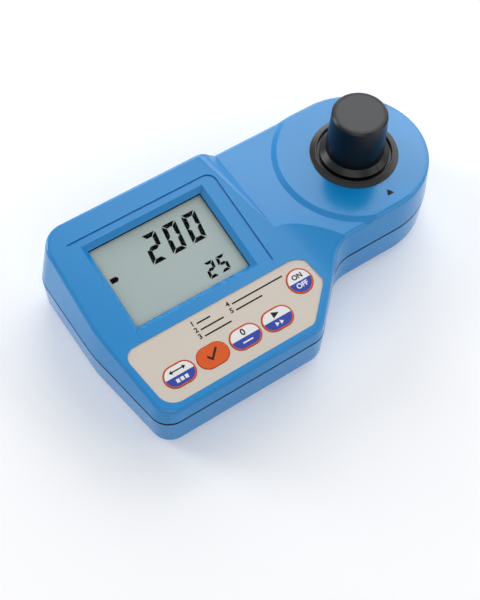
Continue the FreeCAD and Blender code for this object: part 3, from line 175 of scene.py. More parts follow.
# borosilicate glass, drawn: clear, with bright edges and the slight wave of a drawn wall
glass = new_material(
    "borosilicate_glass_drawn_clear", "F6FBFA", roughness=0.02, Transmission_Weight=1.0, IOR=1.47)
add_grain(glass, size=4.0, depth=0.004, tint=0.01)
# polyethylene, moulded without pigment: soft white and dull
stopper = new_material("polyethylene_natural_moulded", "ECECEA", roughness=0.45)
add_grain(stopper, size=0.4, depth=0.006, tint=0.02)
# filter glass, cut and polished: clear blue, a little streaky
filter_glass = new_material(
    "filter_glass_blue_polished", "4C86C8", roughness=0.03, Transmission_Weight=0.9, IOR=1.52)
add_grain(filter_glass, size=3.0, depth=0.002, tint=0.03)
# epoxy resin, cast clear: like thick, slightly yellow glass with faint flow lines
lamp_resin = new_material(
    "epoxy_resin_clear_cast", "F0F2EC", roughness=0.08, Transmission_Weight=0.7, IOR=1.54)
add_grain(lamp_resin, size=1.0, depth=0.003, tint=0.03)
# vinyl insulation, extruded as a ribbon: plain grey and half matt
sleeve = new_material("vinyl_ribbon_grey_extruded", "A9ABB0", roughness=0.45)
add_grain(sleeve, size=0.4, depth=0.006, tint=0.03)
# steel can under a printed wrap: dark, with a plastic shine
battery_wrap = new_material("steel_can_printed_wrap", "2B2D31", roughness=0.35)
add_grain(battery_wrap, size=1.2, depth=0.003, tint=0.15)
# polyurethane foam, cut from a block: dark grey, open and rough
foam = new_material("polyurethane_foam_grey_cut", "3A3B3D", roughness=0.9)
add_grain(foam, size=0.5, depth=0.15, tint=0.25)
# silicone insulation, extruded: dark red, half matt
lead_red = new_material("silicone_lead_red_extruded", "A3201C", roughness=0.45)
add_grain(lead_red, size=0.3, depth=0.004, tint=0.05)
# rubber, moulded: dull black with a soft tooth
rubber = new_material("rubber_black_moulded", "1B1B1D", roughness=0.75)
add_grain(rubber, size=0.4, depth=0.02, tint=0.15)
# rubber cord, extruded for a gasket: near black, without shine
gasket = new_material("rubber_black_extruded", "0E1012", roughness=0.85, Specular_IOR_Level=0.1)
add_grain(gasket, size=0.3, depth=0.01, tint=0.15)

# The cap's side and the flat middle of its top: their colours and roughness, the radii between which one
# turns into the other, how far below the top a place still counts as top, and the size and depth of its grain
# the lighter grey of the top's middle is painted light: it stands for the light falling on the flat top
CAP_SIDE_CODE, CAP_SIDE_ROUGHNESS = "0A0C0F", 0.28
CAP_TOP_PAINTED_LIGHT_CODE, CAP_TOP_ROUGHNESS = "4E5052", 0.55
CAP_TOP_INNER, CAP_TOP_OUTER = 10.3, 11.6
CAP_TOP_BAND = 0.05
CAP_TOP_GRAIN, CAP_TOP_DEPTH = 0.35, 0.02
# ABS moulded in black against a polished tool: deep, with clear reflections of what stands round it
# its flat top is left rough from the mould inside a polished rim, with a grain that takes the shine off; the
# grey of its middle is painted light for the lit top face
cap_black = new_material(
    "abs_black_moulded_polished", CAP_SIDE_CODE, roughness=CAP_SIDE_ROUGHNESS, Specular_IOR_Level=0.24)


def finish_cap():
    """Gives the middle of the cap's top its painted grey, which stands for the light on it, and its roughness
    and its grain.
    """
    tree = cap_black.node_tree
    shader = tree.nodes["Principled BSDF"]
    place = add(tree, "ShaderNodeTexCoord").outputs["Object"]
    height = add(tree, "ShaderNodeSeparateXYZ", {"Vector": place}).outputs["Z"]
    top_level = (CAP_TOP - CAP_TOP_BAND) * MM
    flat = add(tree, "ShaderNodeMath", {0: height, 1: top_level}, operation="GREATER_THAN").outputs[0]
    middle = Vector((WELL_X, WELL_Y, CAP_TOP)) * MM
    radius = add(tree, "ShaderNodeVectorMath", {0: place, 1: middle}, operation="DISTANCE").outputs["Value"]
    inside = add(tree, "ShaderNodeMapRange", {
        "Value": radius, "From Min": CAP_TOP_INNER * MM, "From Max": CAP_TOP_OUTER * MM,
        "To Min": 1.0, "To Max": 0.0})
    top = add(tree, "ShaderNodeMath", {0: flat, 1: inside.outputs["Result"]}, operation="MULTIPLY").outputs[0]
    colour = add(tree, "ShaderNodeMix", {
        0: top, MIX_FIRST: linear(CAP_SIDE_CODE), MIX_SECOND: linear(CAP_TOP_PAINTED_LIGHT_CODE)}, data_type="RGBA")
    tree.links.new(colour.outputs[MIX_RESULT], shader.inputs["Base Color"])
    roughness = add(tree, "ShaderNodeMapRange", {
        "Value": top, "To Min": CAP_SIDE_ROUGHNESS, "To Max": CAP_TOP_ROUGHNESS})
    tree.links.new(roughness.outputs["Result"], shader.inputs["Roughness"])
    grain_size = CAP_TOP_GRAIN * MM
    fine = add(tree, "ShaderNodeTexNoise", {"Vector": place, "Scale": 1 / grain_size, "Detail": 2.0})
    grain = add(tree, "ShaderNodeMath", {0: fine.outputs["Fac"], 1: top}, operation="MULTIPLY").outputs[0]
    bump = add(tree, "ShaderNodeBump", {"Height": grain, "Distance": CAP_TOP_DEPTH * MM, "Strength": 1.0})
    tree.links.new(bump.outputs["Normal"], shader.inputs["Normal"])


finish_cap()

FINISHES = {
    "upper_shell": abs_blue, "lower_shell": abs_blue, "battery_cover": abs_blue,
    "case_gasket": gasket, "case_screws": steel, "feet": rubber,
    "lcd_window": acrylic, "lcd_glass": display, "lcd_frame": abs_black, "zebra_connectors": contact_rubber,
    "keypad_overlay": overlay, "spacer_layer": plain_film, "switch_circuit": plain_film,
    "dome_switches": steel,
    "power_key": key_orange, "range_key": key_orange, "check_key": key_orange, "zero_key": key_orange,
    "read_key": key_orange,
    "main_board": laminate, "controller_chip": resin, "board_sockets": nylon, "board_screws": steel,
    "collar": abs_black, "vial": glass, "stopper": stopper, "cap": cap_black,
    "optical_block": abs_black, "optic_screws": steel, "optic_ribbon": sleeve,
    "lamp": lamp_resin, "lamp_board": laminate, "beam_lens": glass,
    "colour_filter": filter_glass, "detector": steel, "detector_board": laminate,
    "battery": battery_wrap, "battery_pad": foam, "battery_snap": abs_black, "battery_leads": lead_red,
}
for node_name, material in FINISHES.items():
    node_mesh = cad[node_name].data
    node_mesh.materials.clear()
    node_mesh.materials.append(material)


# Pieces
def new_piece(name, mesh, body):
    """An object for a mesh, riding on a body."""
    piece = bpy.data.objects.new(name, mesh)
    bpy.context.scene.collection.objects.link(piece)
    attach(piece, body)
    return piece


def flat_print(name, areas, place, materials, body):
    """Thin printed areas, and bands of painted shade, each a ring of points in millimetres with the number of
    its material.
    """
    mesh = bpy.data.meshes.new(name)
    build = bmesh.new()
    for points, number in areas:
        area = sum(a[0] * b[1] - b[0] * a[1] for a, b in zip(points, points[1:] + points[:1]))
        ring = points if area > 0 else points[::-1]
        face = build.faces.new([build.verts.new(place(x, y)) for x, y in ring])
        face.material_index = number
    build.normal_update()
    build.to_mesh(mesh)
    build.free()
    for material in materials:
        mesh.materials.append(material)
    new_piece(name, mesh, body)


def on_display(u, v):
    return on_deck(u, v, DISPLAY_LEVEL)


def on_panel(u, v):
    return on_deck(u, v, PANEL_LEVEL + PRINT_LIFT)


def on_key(u, v):
    return on_deck(u, v, KEY_LEVEL + PRINT_LIFT)


def on_key_print(u, v):
    return on_deck(u, v, KEY_LEVEL + 2 * PRINT_LIFT)


def bar(x0, y0, x1, y1, number=0):
    """An upright rectangle, with the number of its material."""
    return [(x0, y0), (x1, y0), (x1, y1), (x0, y1)], number


def arrow(tip_x, tip_y, reach, half_height, number):
    """A triangle whose tip points along X, to the right where reach is above zero."""
    back = tip_x - reach
    return [(tip_x, tip_y), (back, tip_y + half_height), (back, tip_y - half_height)], number


# Display: seven-segment numbers that lean a little to the right
SEGMENTS = {"0": "abcdef", "2": "abged", "5": "afgcd"}
DIGIT_LEAN = math.tan(math.radians(8.5))
SEGMENT_GAP_SHARE, CORNER_SHARE = 0.05, 0.18
# edges of the opening over the display, and the width of the black band outside it, painted shade for the
# dark gap at the opening's edge
LCD_LEFT, LCD_RIGHT, LCD_FRONT, LCD_FAR = -75.7, -16.1, -9.15, 33.4
SHADE_BAND_WIDTH = 1.4
# each number's digits with their left ends, its low edge, then the width, height and stroke of its digits
MAIN_LEFTS, MAIN_LOW, MAIN_DIGIT = (("2", -53.4), ("0", -42.7), ("0", -32.1)), 13.3, (7.4, 15.0, 2.2)
SMALL_LEFTS, SMALL_LOW, SMALL_DIGIT = (("2", -34.9), ("5", -28.6)), -5.6, (4.8, 8.3, 1.45)
# the battery sign's block and its contact, as left, front, right and far edges
BATTERY_BLOCK = (-74.2, 14.6, -70.9, 17.2)
BATTERY_CONTACT = (-70.9, 15.3, -70.3, 16.5)


def digit_areas(digit, left, low, width, height, stroke):
    """The lit segments of one digit, with slanted ends and a small gap between neighbours."""
    gap, corner, half = stroke * SEGMENT_GAP_SHARE, stroke * CORNER_SHARE, stroke / 2
    middle = height / 2
    inner, outer = stroke + gap, width - stroke - gap

    def turned_down(points):
        return [(x, height - y) for x, y in points]

    top = [(corner + gap, height), (width - corner - gap, height),
           (outer, height - stroke), (inner, height - stroke)]
    side = [(0, height - corner - gap), (0, middle + gap), (half, middle + gap),
            (stroke, middle + half + gap), (stroke, height - stroke - gap)]
    bridge = [(half + gap, middle), (inner, middle + half), (outer, middle + half),
              (width - half - gap, middle), (outer, middle - half), (inner, middle - half)]
    right = [(width - x, y) for x, y in side]
    shapes = {
        "a": top, "b": right, "c": turned_down(right), "d": turned_down(top),
        "e": turned_down(side), "f": side, "g": bridge,
    }
    return [([(left + x + y * DIGIT_LEAN, low + y) for x, y in shapes[name]], 0) for name in SEGMENTS[digit]]


def display_marks():
    """The numbers and the battery sign on the display, and a black band round its visible part, painted shade
    for the dark gap at the opening's edge.
    """
    areas = []
    for digit, left in MAIN_LEFTS:
        areas += digit_areas(digit, left, MAIN_LOW, *MAIN_DIGIT)
    for digit, left in SMALL_LEFTS:
        areas += digit_areas(digit, left, SMALL_LOW, *SMALL_DIGIT)
    areas += [bar(*BATTERY_BLOCK), bar(*BATTERY_CONTACT)]
    flat_print("display_marks", areas, on_display, [segment_black], "case")
    # the black band round the opening is painted shade for the dark gap where the case meets the display
    left, right = LCD_LEFT - SHADE_BAND_WIDTH, LCD_RIGHT + SHADE_BAND_WIDTH
    front, far = LCD_FRONT - SHADE_BAND_WIDTH, LCD_FAR + SHADE_BAND_WIDTH
    shade_band = [bar(left, LCD_FAR, right, far), bar(left, front, right, LCD_FRONT),
            bar(left, LCD_FRONT, LCD_LEFT, LCD_FAR), bar(LCD_RIGHT, LCD_FRONT, right, LCD_FAR)]
    flat_print("display_edge_shade", shade_band, on_display, [ink_and_shade_black], "case")


# Keypad print: the row of four keys, and the round power key
KEY_ROW_V, KEY_PITCH, FIRST_KEY_U = -37.8, 17.05, -71.8
KEY_LENGTH, KEY_WIDTH = 15.2, 10.2
POWER_U, POWER_V, POWER_RADIUS = -1.67, -27.75, 6.1
RANGE_U, CHECK_U, ZERO_U, READ_U = (FIRST_KEY_U + KEY_PITCH * number for number in range(4))
# width of the orange rim that the print leaves free, and steps in a quarter turn of its edge
KEY_RIM = 0.55
ARC_STEPS = 24
# the inks of a key, by number
WHITE, BLUE, BLACK = range(3)
# how far the signs stand above and below the middle of a key
SIGN_RISE, SIGN_DROP = 2.3, 2.2
# the double arrow: its tips, its heads and its shaft
DOUBLE_TIP, DOUBLE_HEAD, DOUBLE_HALF, SHAFT_REACH, SHAFT_HALF = 4.2, 1.6, 1.1, 2.7, 0.3
# three blocks, a bar, one large arrow head and two small ones
BLOCK_LEFTS, BLOCK_WIDTH, BLOCK_HALF = (-3.0, -0.8, 1.4), 1.6, 0.9
DASH_REACH, DASH_HALF = 2.6, 0.35
START_TIP, START_HEAD, START_HALF = 2.2, 3.6, 1.6
SKIP_TIPS, SKIP_HEAD, SKIP_HALF = (2.0, -0.4), 1.8, 1.1
# a tick, as points round its edge
TICK = [(-3.0, 0.2), (-1.1, -2.2), (3.4, 2.2), (2.7, 3.0), (-1.0, -0.7), (-2.3, 1.0)]


def stadium(u, v, length, width):
    """Points round a slot shape, anticlockwise from its right end, so that its upper half comes first."""
    radius, half = width / 2, (length - width) / 2
    points = []
    for centre, start in ((half, 0), (-half, 90), (-half, 180), (half, 270)):
        for step in range(ARC_STEPS + 1):
            angle = math.radians(start + 90 * step / ARC_STEPS)
            points.append((u + centre + radius * math.cos(angle), v + radius * math.sin(angle)))
    return points


def key_areas(u, v, length, width):
    """The white upper half and the blue lower half of a key."""
    points = stadium(u, v, length - 2 * KEY_RIM, width - 2 * KEY_RIM)
    middle = len(points) // 2
    return [(points[:middle], WHITE), (points[middle:], BLUE)]


def key_signs():
    """Each key's place in the row, with generic signs: dark on its white half and white on its blue half."""
    upper, lower = KEY_ROW_V + SIGN_RISE, KEY_ROW_V - SIGN_DROP
    double_arrow = [
        arrow(RANGE_U + DOUBLE_TIP, upper, DOUBLE_HEAD, DOUBLE_HALF, BLACK),
        arrow(RANGE_U - DOUBLE_TIP, upper, -DOUBLE_HEAD, DOUBLE_HALF, BLACK),
        bar(RANGE_U - SHAFT_REACH, upper - SHAFT_HALF, RANGE_U + SHAFT_REACH, upper + SHAFT_HALF, BLACK)]
    blocks = [bar(RANGE_U + left, lower - BLOCK_HALF, RANGE_U + left + BLOCK_WIDTH, lower + BLOCK_HALF, WHITE)
              for left in BLOCK_LEFTS]
    dash = [bar(ZERO_U - DASH_REACH, lower - DASH_HALF, ZERO_U + DASH_REACH, lower + DASH_HALF, WHITE)]
    start = [arrow(READ_U + START_TIP, upper, START_HEAD, START_HALF, BLACK)]
    skip = [arrow(READ_U + tip, lower, SKIP_HEAD, SKIP_HALF, WHITE) for tip in SKIP_TIPS]
    return {
        "range_key": (RANGE_U, double_arrow + blocks),
        "zero_key": (ZERO_U, dash),
        "read_key": (READ_U, start + skip),
    }


def key_prints():
    """The two-coloured print and the signs of the keys, and the tick on the orange one."""
    inks = [key_white, key_blue, ink_and_shade_black]
    for key, (u, signs) in key_signs().items():
        halves = key_areas(u, KEY_ROW_V, KEY_LENGTH, KEY_WIDTH)
        flat_print(key + "_print", halves, on_key, inks, key)
        flat_print(key + "_signs", signs, on_key_print, inks, key)
    halves = key_areas(POWER_U, POWER_V, 2 * POWER_RADIUS, 2 * POWER_RADIUS)
    flat_print("power_key_print", halves, on_key, inks, "power_key")
    tick = [(CHECK_U + x, KEY_ROW_V + y) for x, y in TICK]
    flat_print("check_key_print", [(tick, 0)], on_key, [ink_and_shade_black], "check_key")


# Lettering: share of a letter's size that a capital is high, and how much its strokes are thickened
CAPITAL_SHARE = 0.69
STROKE_GROWTH = 0.11
# heights of the words on the power key, of the zero and of the list's numbers
SWITCH_HEIGHT, ZERO_HEIGHT, LIST_HEIGHT = 2.3, 3.0, 2.3
# a numbered list to write on: the place of each number, and the length of the rule after it
LIST_LINES = [
    (-54.8, -20.9, 7.0),
    (-54.8, -24.3, 12.0),
    (-54.8, -27.7, 14.0),
    (-36.2, -20.9, 27.0),
    (-36.2, -24.3, 14.0),
]
RULE_START, RULE_DROP, RULE_WIDTH = 1.9, 1.1, 0.75


def lettering(name, words, u, v, height, place, material, body):
    """Plain lettering laid on the deck, as a mesh, centred on a place and with letters of that height."""
    curve = bpy.data.curves.new(name, "FONT")
    curve.body = words
    curve.align_x, curve.align_y = "CENTER", "CENTER"
    curve.size = height / CAPITAL_SHARE
    curve.offset = STROKE_GROWTH
    source = bpy.data.objects.new(name + "_curve", curve)
    bpy.context.scene.collection.objects.link(source)
    mesh = bpy.data.meshes.new_from_object(source.evaluated_get(bpy.context.evaluated_depsgraph_get()))
    bpy.data.objects.remove(source)
    mesh.name = name
    for vertex in mesh.vertices:
        vertex.co = place(u + vertex.co.x, v + vertex.co.y)
    mesh.materials.clear()
    mesh.materials.append(material)
    new_piece(name, mesh, body)


def keypad_lettering():
    """ON and OFF on the power key, a zero on the zero key, and the numbered list with its rules."""
    upper, lower = POWER_V + SIGN_RISE, POWER_V - SIGN_DROP
    lettering("on_sign", "ON", POWER_U, upper, SWITCH_HEIGHT, on_key_print, ink_and_shade_black,
              "power_key")
    lettering("off_sign", "OFF", POWER_U, lower, SWITCH_HEIGHT, on_key_print, key_white,
              "power_key")
    lettering("zero_sign", "0", ZERO_U, KEY_ROW_V + SIGN_RISE, ZERO_HEIGHT, on_key_print, ink_and_shade_black,
              "zero_key")
    rules = []
    for number, (u, v, length) in enumerate(LIST_LINES, start=1):
        name = "list_number_%d" % number
        lettering(name, str(number), u, v, LIST_HEIGHT, on_panel, ink_and_shade_black, "case")
        start, low = u + RULE_START, v - RULE_DROP
        rules.append(bar(start, low, start + length, low + RULE_WIDTH))
    flat_print("list_rules", rules, on_panel, [ink_and_shade_black], "case")


# Trim that follows the edge of a CAD node
# points nearer than this, in metres, are taken as one
MERGE_DISTANCE = 1e-6
# the largest share of the axis in a wall's normal, and the smallest in a top's
STEEP, LEVEL = 0.3, 0.9
UPWARD = Vector((0, 0, 1))
DECK_NORMAL = Vector((0, -math.sin(DECK_TILT), math.cos(DECK_TILT)))
# the gasket's face is 0.35 mm behind the wall and 0.6 mm high: the bead fills the joint and laps the shells
BEAD_PROFILE = [(-0.3, 0.32), (0.34, 0.32), (0.365, 0.2), (0.365, -0.8), (0.34, -0.92), (-0.3, -0.92)]
# the panel's film is pressed into the corner of its recess
FILM_PROFILE = [(-0.1, 0.004), (0.28, 0.004), (0.28, -0.2), (-0.1, -0.2)]
# level of the window's lower face, square to the deck, just clear of the display
WINDOW_FOOT = -3.9


def outer_edge(node, axis):
    """The upper outer edge of a node, in order, as points with the way out at each."""
    build = bmesh.new()
    build.from_mesh(cad[node].data)
    bmesh.ops.remove_doubles(build, verts=build.verts, dist=MERGE_DISTANCE)
    build.normal_update()
    ways, beside = {}, {}
    for edge in build.edges:
        walls = [face for face in edge.link_faces if abs(face.normal.dot(axis)) < STEEP]
        tops = [face for face in edge.link_faces if face.normal.dot(axis) > LEVEL]
        if walls and tops:
            for vert, other in (edge.verts, reversed(edge.verts)):
                beside.setdefault(vert, []).append(other)
                ways[vert] = ways.get(vert, Vector()) + walls[0].normal
    rings = []
    while beside:
        vert = next(iter(beside))
        ring = []
        while vert in beside:
            ring.append((vert.co.copy(), ways[vert].normalized()))
            nearby = [other for other in beside.pop(vert) if other in beside]
            vert = nearby[0] if nearby else None
        rings.append(ring)
    build.free()
    return max(rings, key=lambda ring: sum((a[0] - b[0]).length for a, b in zip(ring, ring[1:])))


def edge_band(name, node, axis, profile, material):
    """A closed band along a node's outer edge, from a profile of steps out and steps up in millimetres."""
    build = bmesh.new()
    rows = []
    for point, way in outer_edge(node, axis):
        rows.append([build.verts.new(point + (way * out + axis * rise) * MM) for out, rise in profile])
    for row, following in zip(rows, rows[1:] + rows[:1]):
        for number in range(len(profile)):
            after = (number + 1) % len(profile)
            build.faces.new((row[number], following[number], following[after], row[after]))
    bmesh.ops.recalc_face_normals(build, faces=build.faces)
    mesh = bpy.data.meshes.new(name)
    build.to_mesh(mesh)
    build.free()
    mesh.materials.append(material)
    return new_piece(name, mesh, "case")


def edge_trim():
    """The dark bead in the seam of the shells, and the film at the panel's edge."""
    bead = edge_band("seam_bead", "case_gasket", UPWARD, BEAD_PROFILE, gasket)
    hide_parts("case_gasket")
    edge_band("panel_edge", "keypad_overlay", DECK_NORMAL, FILM_PROFILE, overlay)


def display_window():
    """The clear window, with its lower face lifted off the display's face."""
    build = bmesh.new()
    build.from_mesh(cad["lcd_window"].data)
    bmesh.ops.remove_doubles(build, verts=build.verts, dist=MERGE_DISTANCE)
    deck_middle = Vector((0, 0, DECK_HEIGHT)) * MM
    for vert in build.verts:
        short = WINDOW_FOOT * MM - (vert.co - deck_middle).dot(DECK_NORMAL)
        if short > 0:
            vert.co += DECK_NORMAL * short
    mesh = bpy.data.meshes.new("display_window")
    build.to_mesh(mesh)
    build.free()
    mesh.materials.append(acrylic)
    window = new_piece("display_window", mesh, "case")
    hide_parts("lcd_window")


# Index marks on the disc and on the slope of the cap's brim, each at its distance from the well's axis
ARROW_NEAR, ARROW_FAR, ARROW_HALF_WIDTH = 25.7, 29.2, 2.0
BRIM_INNER, BRIM_OUTER, BRIM_TOP, BRIM_SLOPE = 14.6, 16.5, 44.26, 2.3 / 2.6
BRIM_MARK_ANGLE, BRIM_MARK_WIDTH = math.radians(-83.0), 0.5


def index_marks():
    """A triangle on the disc and a line on the brim, to set the vial by."""
    def on_disc(x, y):
        return Vector((WELL_X + x, WELL_Y + y, DISC_HEIGHT + PRINT_LIFT)) * MM

    def on_brim(radius, across):
        x = radius * math.cos(BRIM_MARK_ANGLE) - across * math.sin(BRIM_MARK_ANGLE)
        y = radius * math.sin(BRIM_MARK_ANGLE) + across * math.cos(BRIM_MARK_ANGLE)
        z = BRIM_TOP - (radius - BRIM_INNER) * BRIM_SLOPE + 2 * PRINT_LIFT
        return Vector((WELL_X + x, WELL_Y + y, z)) * MM

    arrow_head = [(-ARROW_HALF_WIDTH, -ARROW_FAR), (ARROW_HALF_WIDTH, -ARROW_FAR), (0, -ARROW_NEAR)]
    flat_print("disc_index", [(arrow_head, 0)], on_disc, [ink_and_shade_black], "case")
    half = BRIM_MARK_WIDTH / 2
    line = bar(BRIM_INNER, -half, BRIM_OUTER, half)
    flat_print("brim_index", [line], on_brim, [ink_and_shade_black], "cap")


# Fasteners and feet, each made once and set out on its points
# sides of a round, the places of the feet and the screws, and the level of the faces that the heads bear on
DISC_SIDES = 48
FEET = [(-71.5, 42.0), (-61.5, -42.0), (-20.4, -42.0), (74.3, 34.8), (74.3, -5.2)]
CASE_SCREWS = [(-86.5, 42.0), (-78.3, -38.25), (-5.4, -40.75), (62.7, 43.25), (62.7, -13.65)]
SCREW_SEAT = 7.5
FOOT_SIZES = {"Radius": 5.0, "Height": 2.0, "Edge": 0.4}
SCREW_SIZES = {
    "Head Radius": 2.8, "Head Height": 2.2, "Edge": 0.5,
    "Slot Length": 3.2, "Slot Width": 0.7, "Slot Depth": 1.2,
}


def new_tree(name, sizes):
    """A Geometry Nodes tree that takes points and named sizes in millimetres, and gives geometry."""
    tree = bpy.data.node_groups.new(name, "GeometryNodeTree")
    tree.interface.new_socket("Geometry", in_out="INPUT", socket_type="NodeSocketGeometry")
    for size in sizes:
        tree.interface.new_socket(size, in_out="INPUT", socket_type="NodeSocketFloat")
    tree.interface.new_socket("Geometry", in_out="OUTPUT", socket_type="NodeSocketGeometry")
    return tree, add(tree, "NodeGroupInput")


def tapered_disc(tree, radius, height, edge):
    """A disc from its point up, whose lower edge is drawn in by the edge size."""
    lift = add(tree, "ShaderNodeMath", {0: height, 1: edge}, operation="SUBTRACT").outputs[0]
    disc = add(tree, "GeometryNodeMeshCylinder", {"Vertices": DISC_SIDES, "Radius": radius, "Depth": lift})
    foot_radius = add(tree, "ShaderNodeMath", {0: radius, 1: edge}, operation="SUBTRACT").outputs[0]
    scale = add(tree, "ShaderNodeMath", {0: foot_radius, 1: radius}, operation="DIVIDE").outputs[0]
    drawn = add(tree, "GeometryNodeExtrudeMesh", {
        "Mesh": disc.outputs["Mesh"], "Selection": disc.outputs["Bottom"], "Offset Scale": edge})
    tapered = add(tree, "GeometryNodeScaleElements", {
        "Geometry": drawn.outputs["Mesh"], "Selection": drawn.outputs["Top"], "Scale": scale})
    middle = add(tree, "ShaderNodeMath", {0: lift, 1: 0.5, 2: edge}, operation="MULTIPLY_ADD").outputs[0]
    shift = add(tree, "ShaderNodeCombineXYZ", {"Z": middle}).outputs["Vector"]
    moved = add(tree, "GeometryNodeTransform", {
        "Geometry": tapered.outputs["Geometry"], "Translation": shift})
    return moved.outputs["Geometry"]


def set_out(tree, group, shape, material):
    """Ends a tree: the shape on each point, as one mesh with its material."""
    placed = add(tree, "GeometryNodeInstanceOnPoints", {
        "Points": group.outputs["Geometry"], "Instance": shape})
    solid = add(tree, "GeometryNodeRealizeInstances", {"Geometry": placed.outputs["Instances"]})
    dressed = add(tree, "GeometryNodeSetMaterial", {
        "Geometry": solid.outputs["Geometry"], "Material": material})
    add(tree, "NodeGroupOutput", {"Geometry": dressed.outputs["Geometry"]})


def run_tree(name, points, tree, sizes, body, node):
    """Runs a tree on the points and keeps the result as a plain mesh that stands for a CAD node."""
    dots = bpy.data.meshes.new(name + "_points")
    dots.from_pydata([Vector(point) * MM for point in points], [], [])
    source = bpy.data.objects.new(name + "_points", dots)
    bpy.context.scene.collection.objects.link(source)
    modifier = source.modifiers.new(name, "NODES")
    modifier.node_group = tree
    for item in tree.interface.items_tree:
        if item.in_out == "INPUT" and item.name in sizes:
            modifier[item.identifier] = sizes[item.name] * MM
    mesh = bpy.data.meshes.new_from_object(source.evaluated_get(bpy.context.evaluated_depsgraph_get()))
    bpy.data.objects.remove(source)
    mesh.name = name
    piece = new_piece(name, mesh, body)
    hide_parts(node)


def rubber_feet():
    """Round feet with a drawn-in edge, on the floor."""
    tree, group = new_tree("rubber_foot", FOOT_SIZES)
    shape = tapered_disc(tree, group.outputs["Radius"], group.outputs["Height"], group.outputs["Edge"])
    set_out(tree, group, shape, rubber)
    run_tree("rubber_feet", [(x, y, 0) for x, y in FEET], tree, FOOT_SIZES, "case", "feet")


def cross_screws():
    """Pan-head screws with a cross recess, seen in their sinks in the underside."""
    tree, group = new_tree("cross_screw", SCREW_SIZES)
    out = group.outputs
    head = tapered_disc(tree, out["Head Radius"], out["Head Height"], out["Edge"])
    # each slot is cut by a block centred on the head's face, so it is twice as high as the slot is deep
    double = add(tree, "ShaderNodeMath", {0: out["Slot Depth"], 1: 2.0}, operation="MULTIPLY").outputs[0]
    recess = add(tree, "GeometryNodeMeshBoolean", {"Mesh 1": head}, operation="DIFFERENCE")
    for x, y in (("Slot Length", "Slot Width"), ("Slot Width", "Slot Length")):
        size = add(tree, "ShaderNodeCombineXYZ", {"X": out[x], "Y": out[y], "Z": double}).outputs["Vector"]
        slot = add(tree, "GeometryNodeMeshCube", {"Size": size})
        tree.links.new(slot.outputs["Mesh"], recess.inputs["Mesh 2"])
    set_out(tree, group, recess.outputs["Mesh"], steel)
    low = SCREW_SEAT - SCREW_SIZES["Head Height"]
    points = [(x, y, low) for x, y in CASE_SCREWS]
    run_tree("cross_screws", points, tree, SCREW_SIZES, "case", "case_screws")


display_marks()
key_prints()
keypad_lettering()
edge_trim()
display_window()
index_marks()
rubber_feet()
cross_screws()

# Floor, light and camera
# how far the paper reaches, in metres, its colour and the background's, and the glow that lifts the paper
FLOOR_REACH = 3.0
PAPER_CODE, WHITE_CODE = "F6F7F9", "FFFFFF"
FLOOR_LIFT = 0.17
# distance from the frame's origin, in metres, over which the paper turns to the background's plain white
WHITE_START, WHITE_END = 0.09, 0.32
# colour and strength of the even light from all sides
FILL_CODE, FILL_STRENGTH = "F4F5F8", 0.26
# direction, distance, width and height in metres, how bright the lamp's face looks, and its turn in degrees
LAMPS = {
    "back_softbox": ((0.42, 0.53, 0.735), 1.2, 0.62, 0.36, 2.7, 20.0),
    "top_softbox": ((0.272, 0.272, 0.923), 1.2, 0.50, 0.30, 1.45, 0.0),
    "back_wall": ((0.42, 0.83, 0.36), 1.2, 0.60, 0.60, 3.2, 0.0),
    "left_back_strip": ((-0.59, 0.72, 0.36), 1.2, 0.42, 0.75, 6.0, 0.0),
    "right_softbox": ((0.80, 0.20, 0.56), 1.2, 0.90, 0.80, 2.0, 0.0),
    "front_right_fill": ((0.60, -0.65, 0.47), 1.2, 0.90, 0.60, 1.5, 0.0),
    "front_left_fill": ((-0.45, -0.60, 0.66), 1.2, 0.90, 0.60, 1.5, 0.0),
}
# the camera fitted to the photo: angles in degrees, lengths in millimetres, focal length in picture pixels
CAMERA_AZIMUTH, CAMERA_ELEVATION, CAMERA_ROLL = -35.543, 58.509, 2.139
CAMERA_AIM, CAMERA_DISTANCE = (-28.44, -19.06, 30.0), 534.8
FOCAL_PIXELS, PICTURE_HEIGHT, SENSOR_HEIGHT = 1188.4, 600, 36.0


def shown_rays(tree):
    """A socket that is one for camera rays, reflected rays and refracted rays, which show what they meet."""
    path = add(tree, "ShaderNodeLightPath").outputs
    camera, glossy, clear = path["Is Camera Ray"], path["Is Glossy Ray"], path["Is Transmission Ray"]
    either = add(tree, "ShaderNodeMath", {0: camera, 1: glossy}, operation="MAXIMUM").outputs[0]
    return add(tree, "ShaderNodeMath", {0: either, 1: clear}, operation="MAXIMUM").outputs[0]


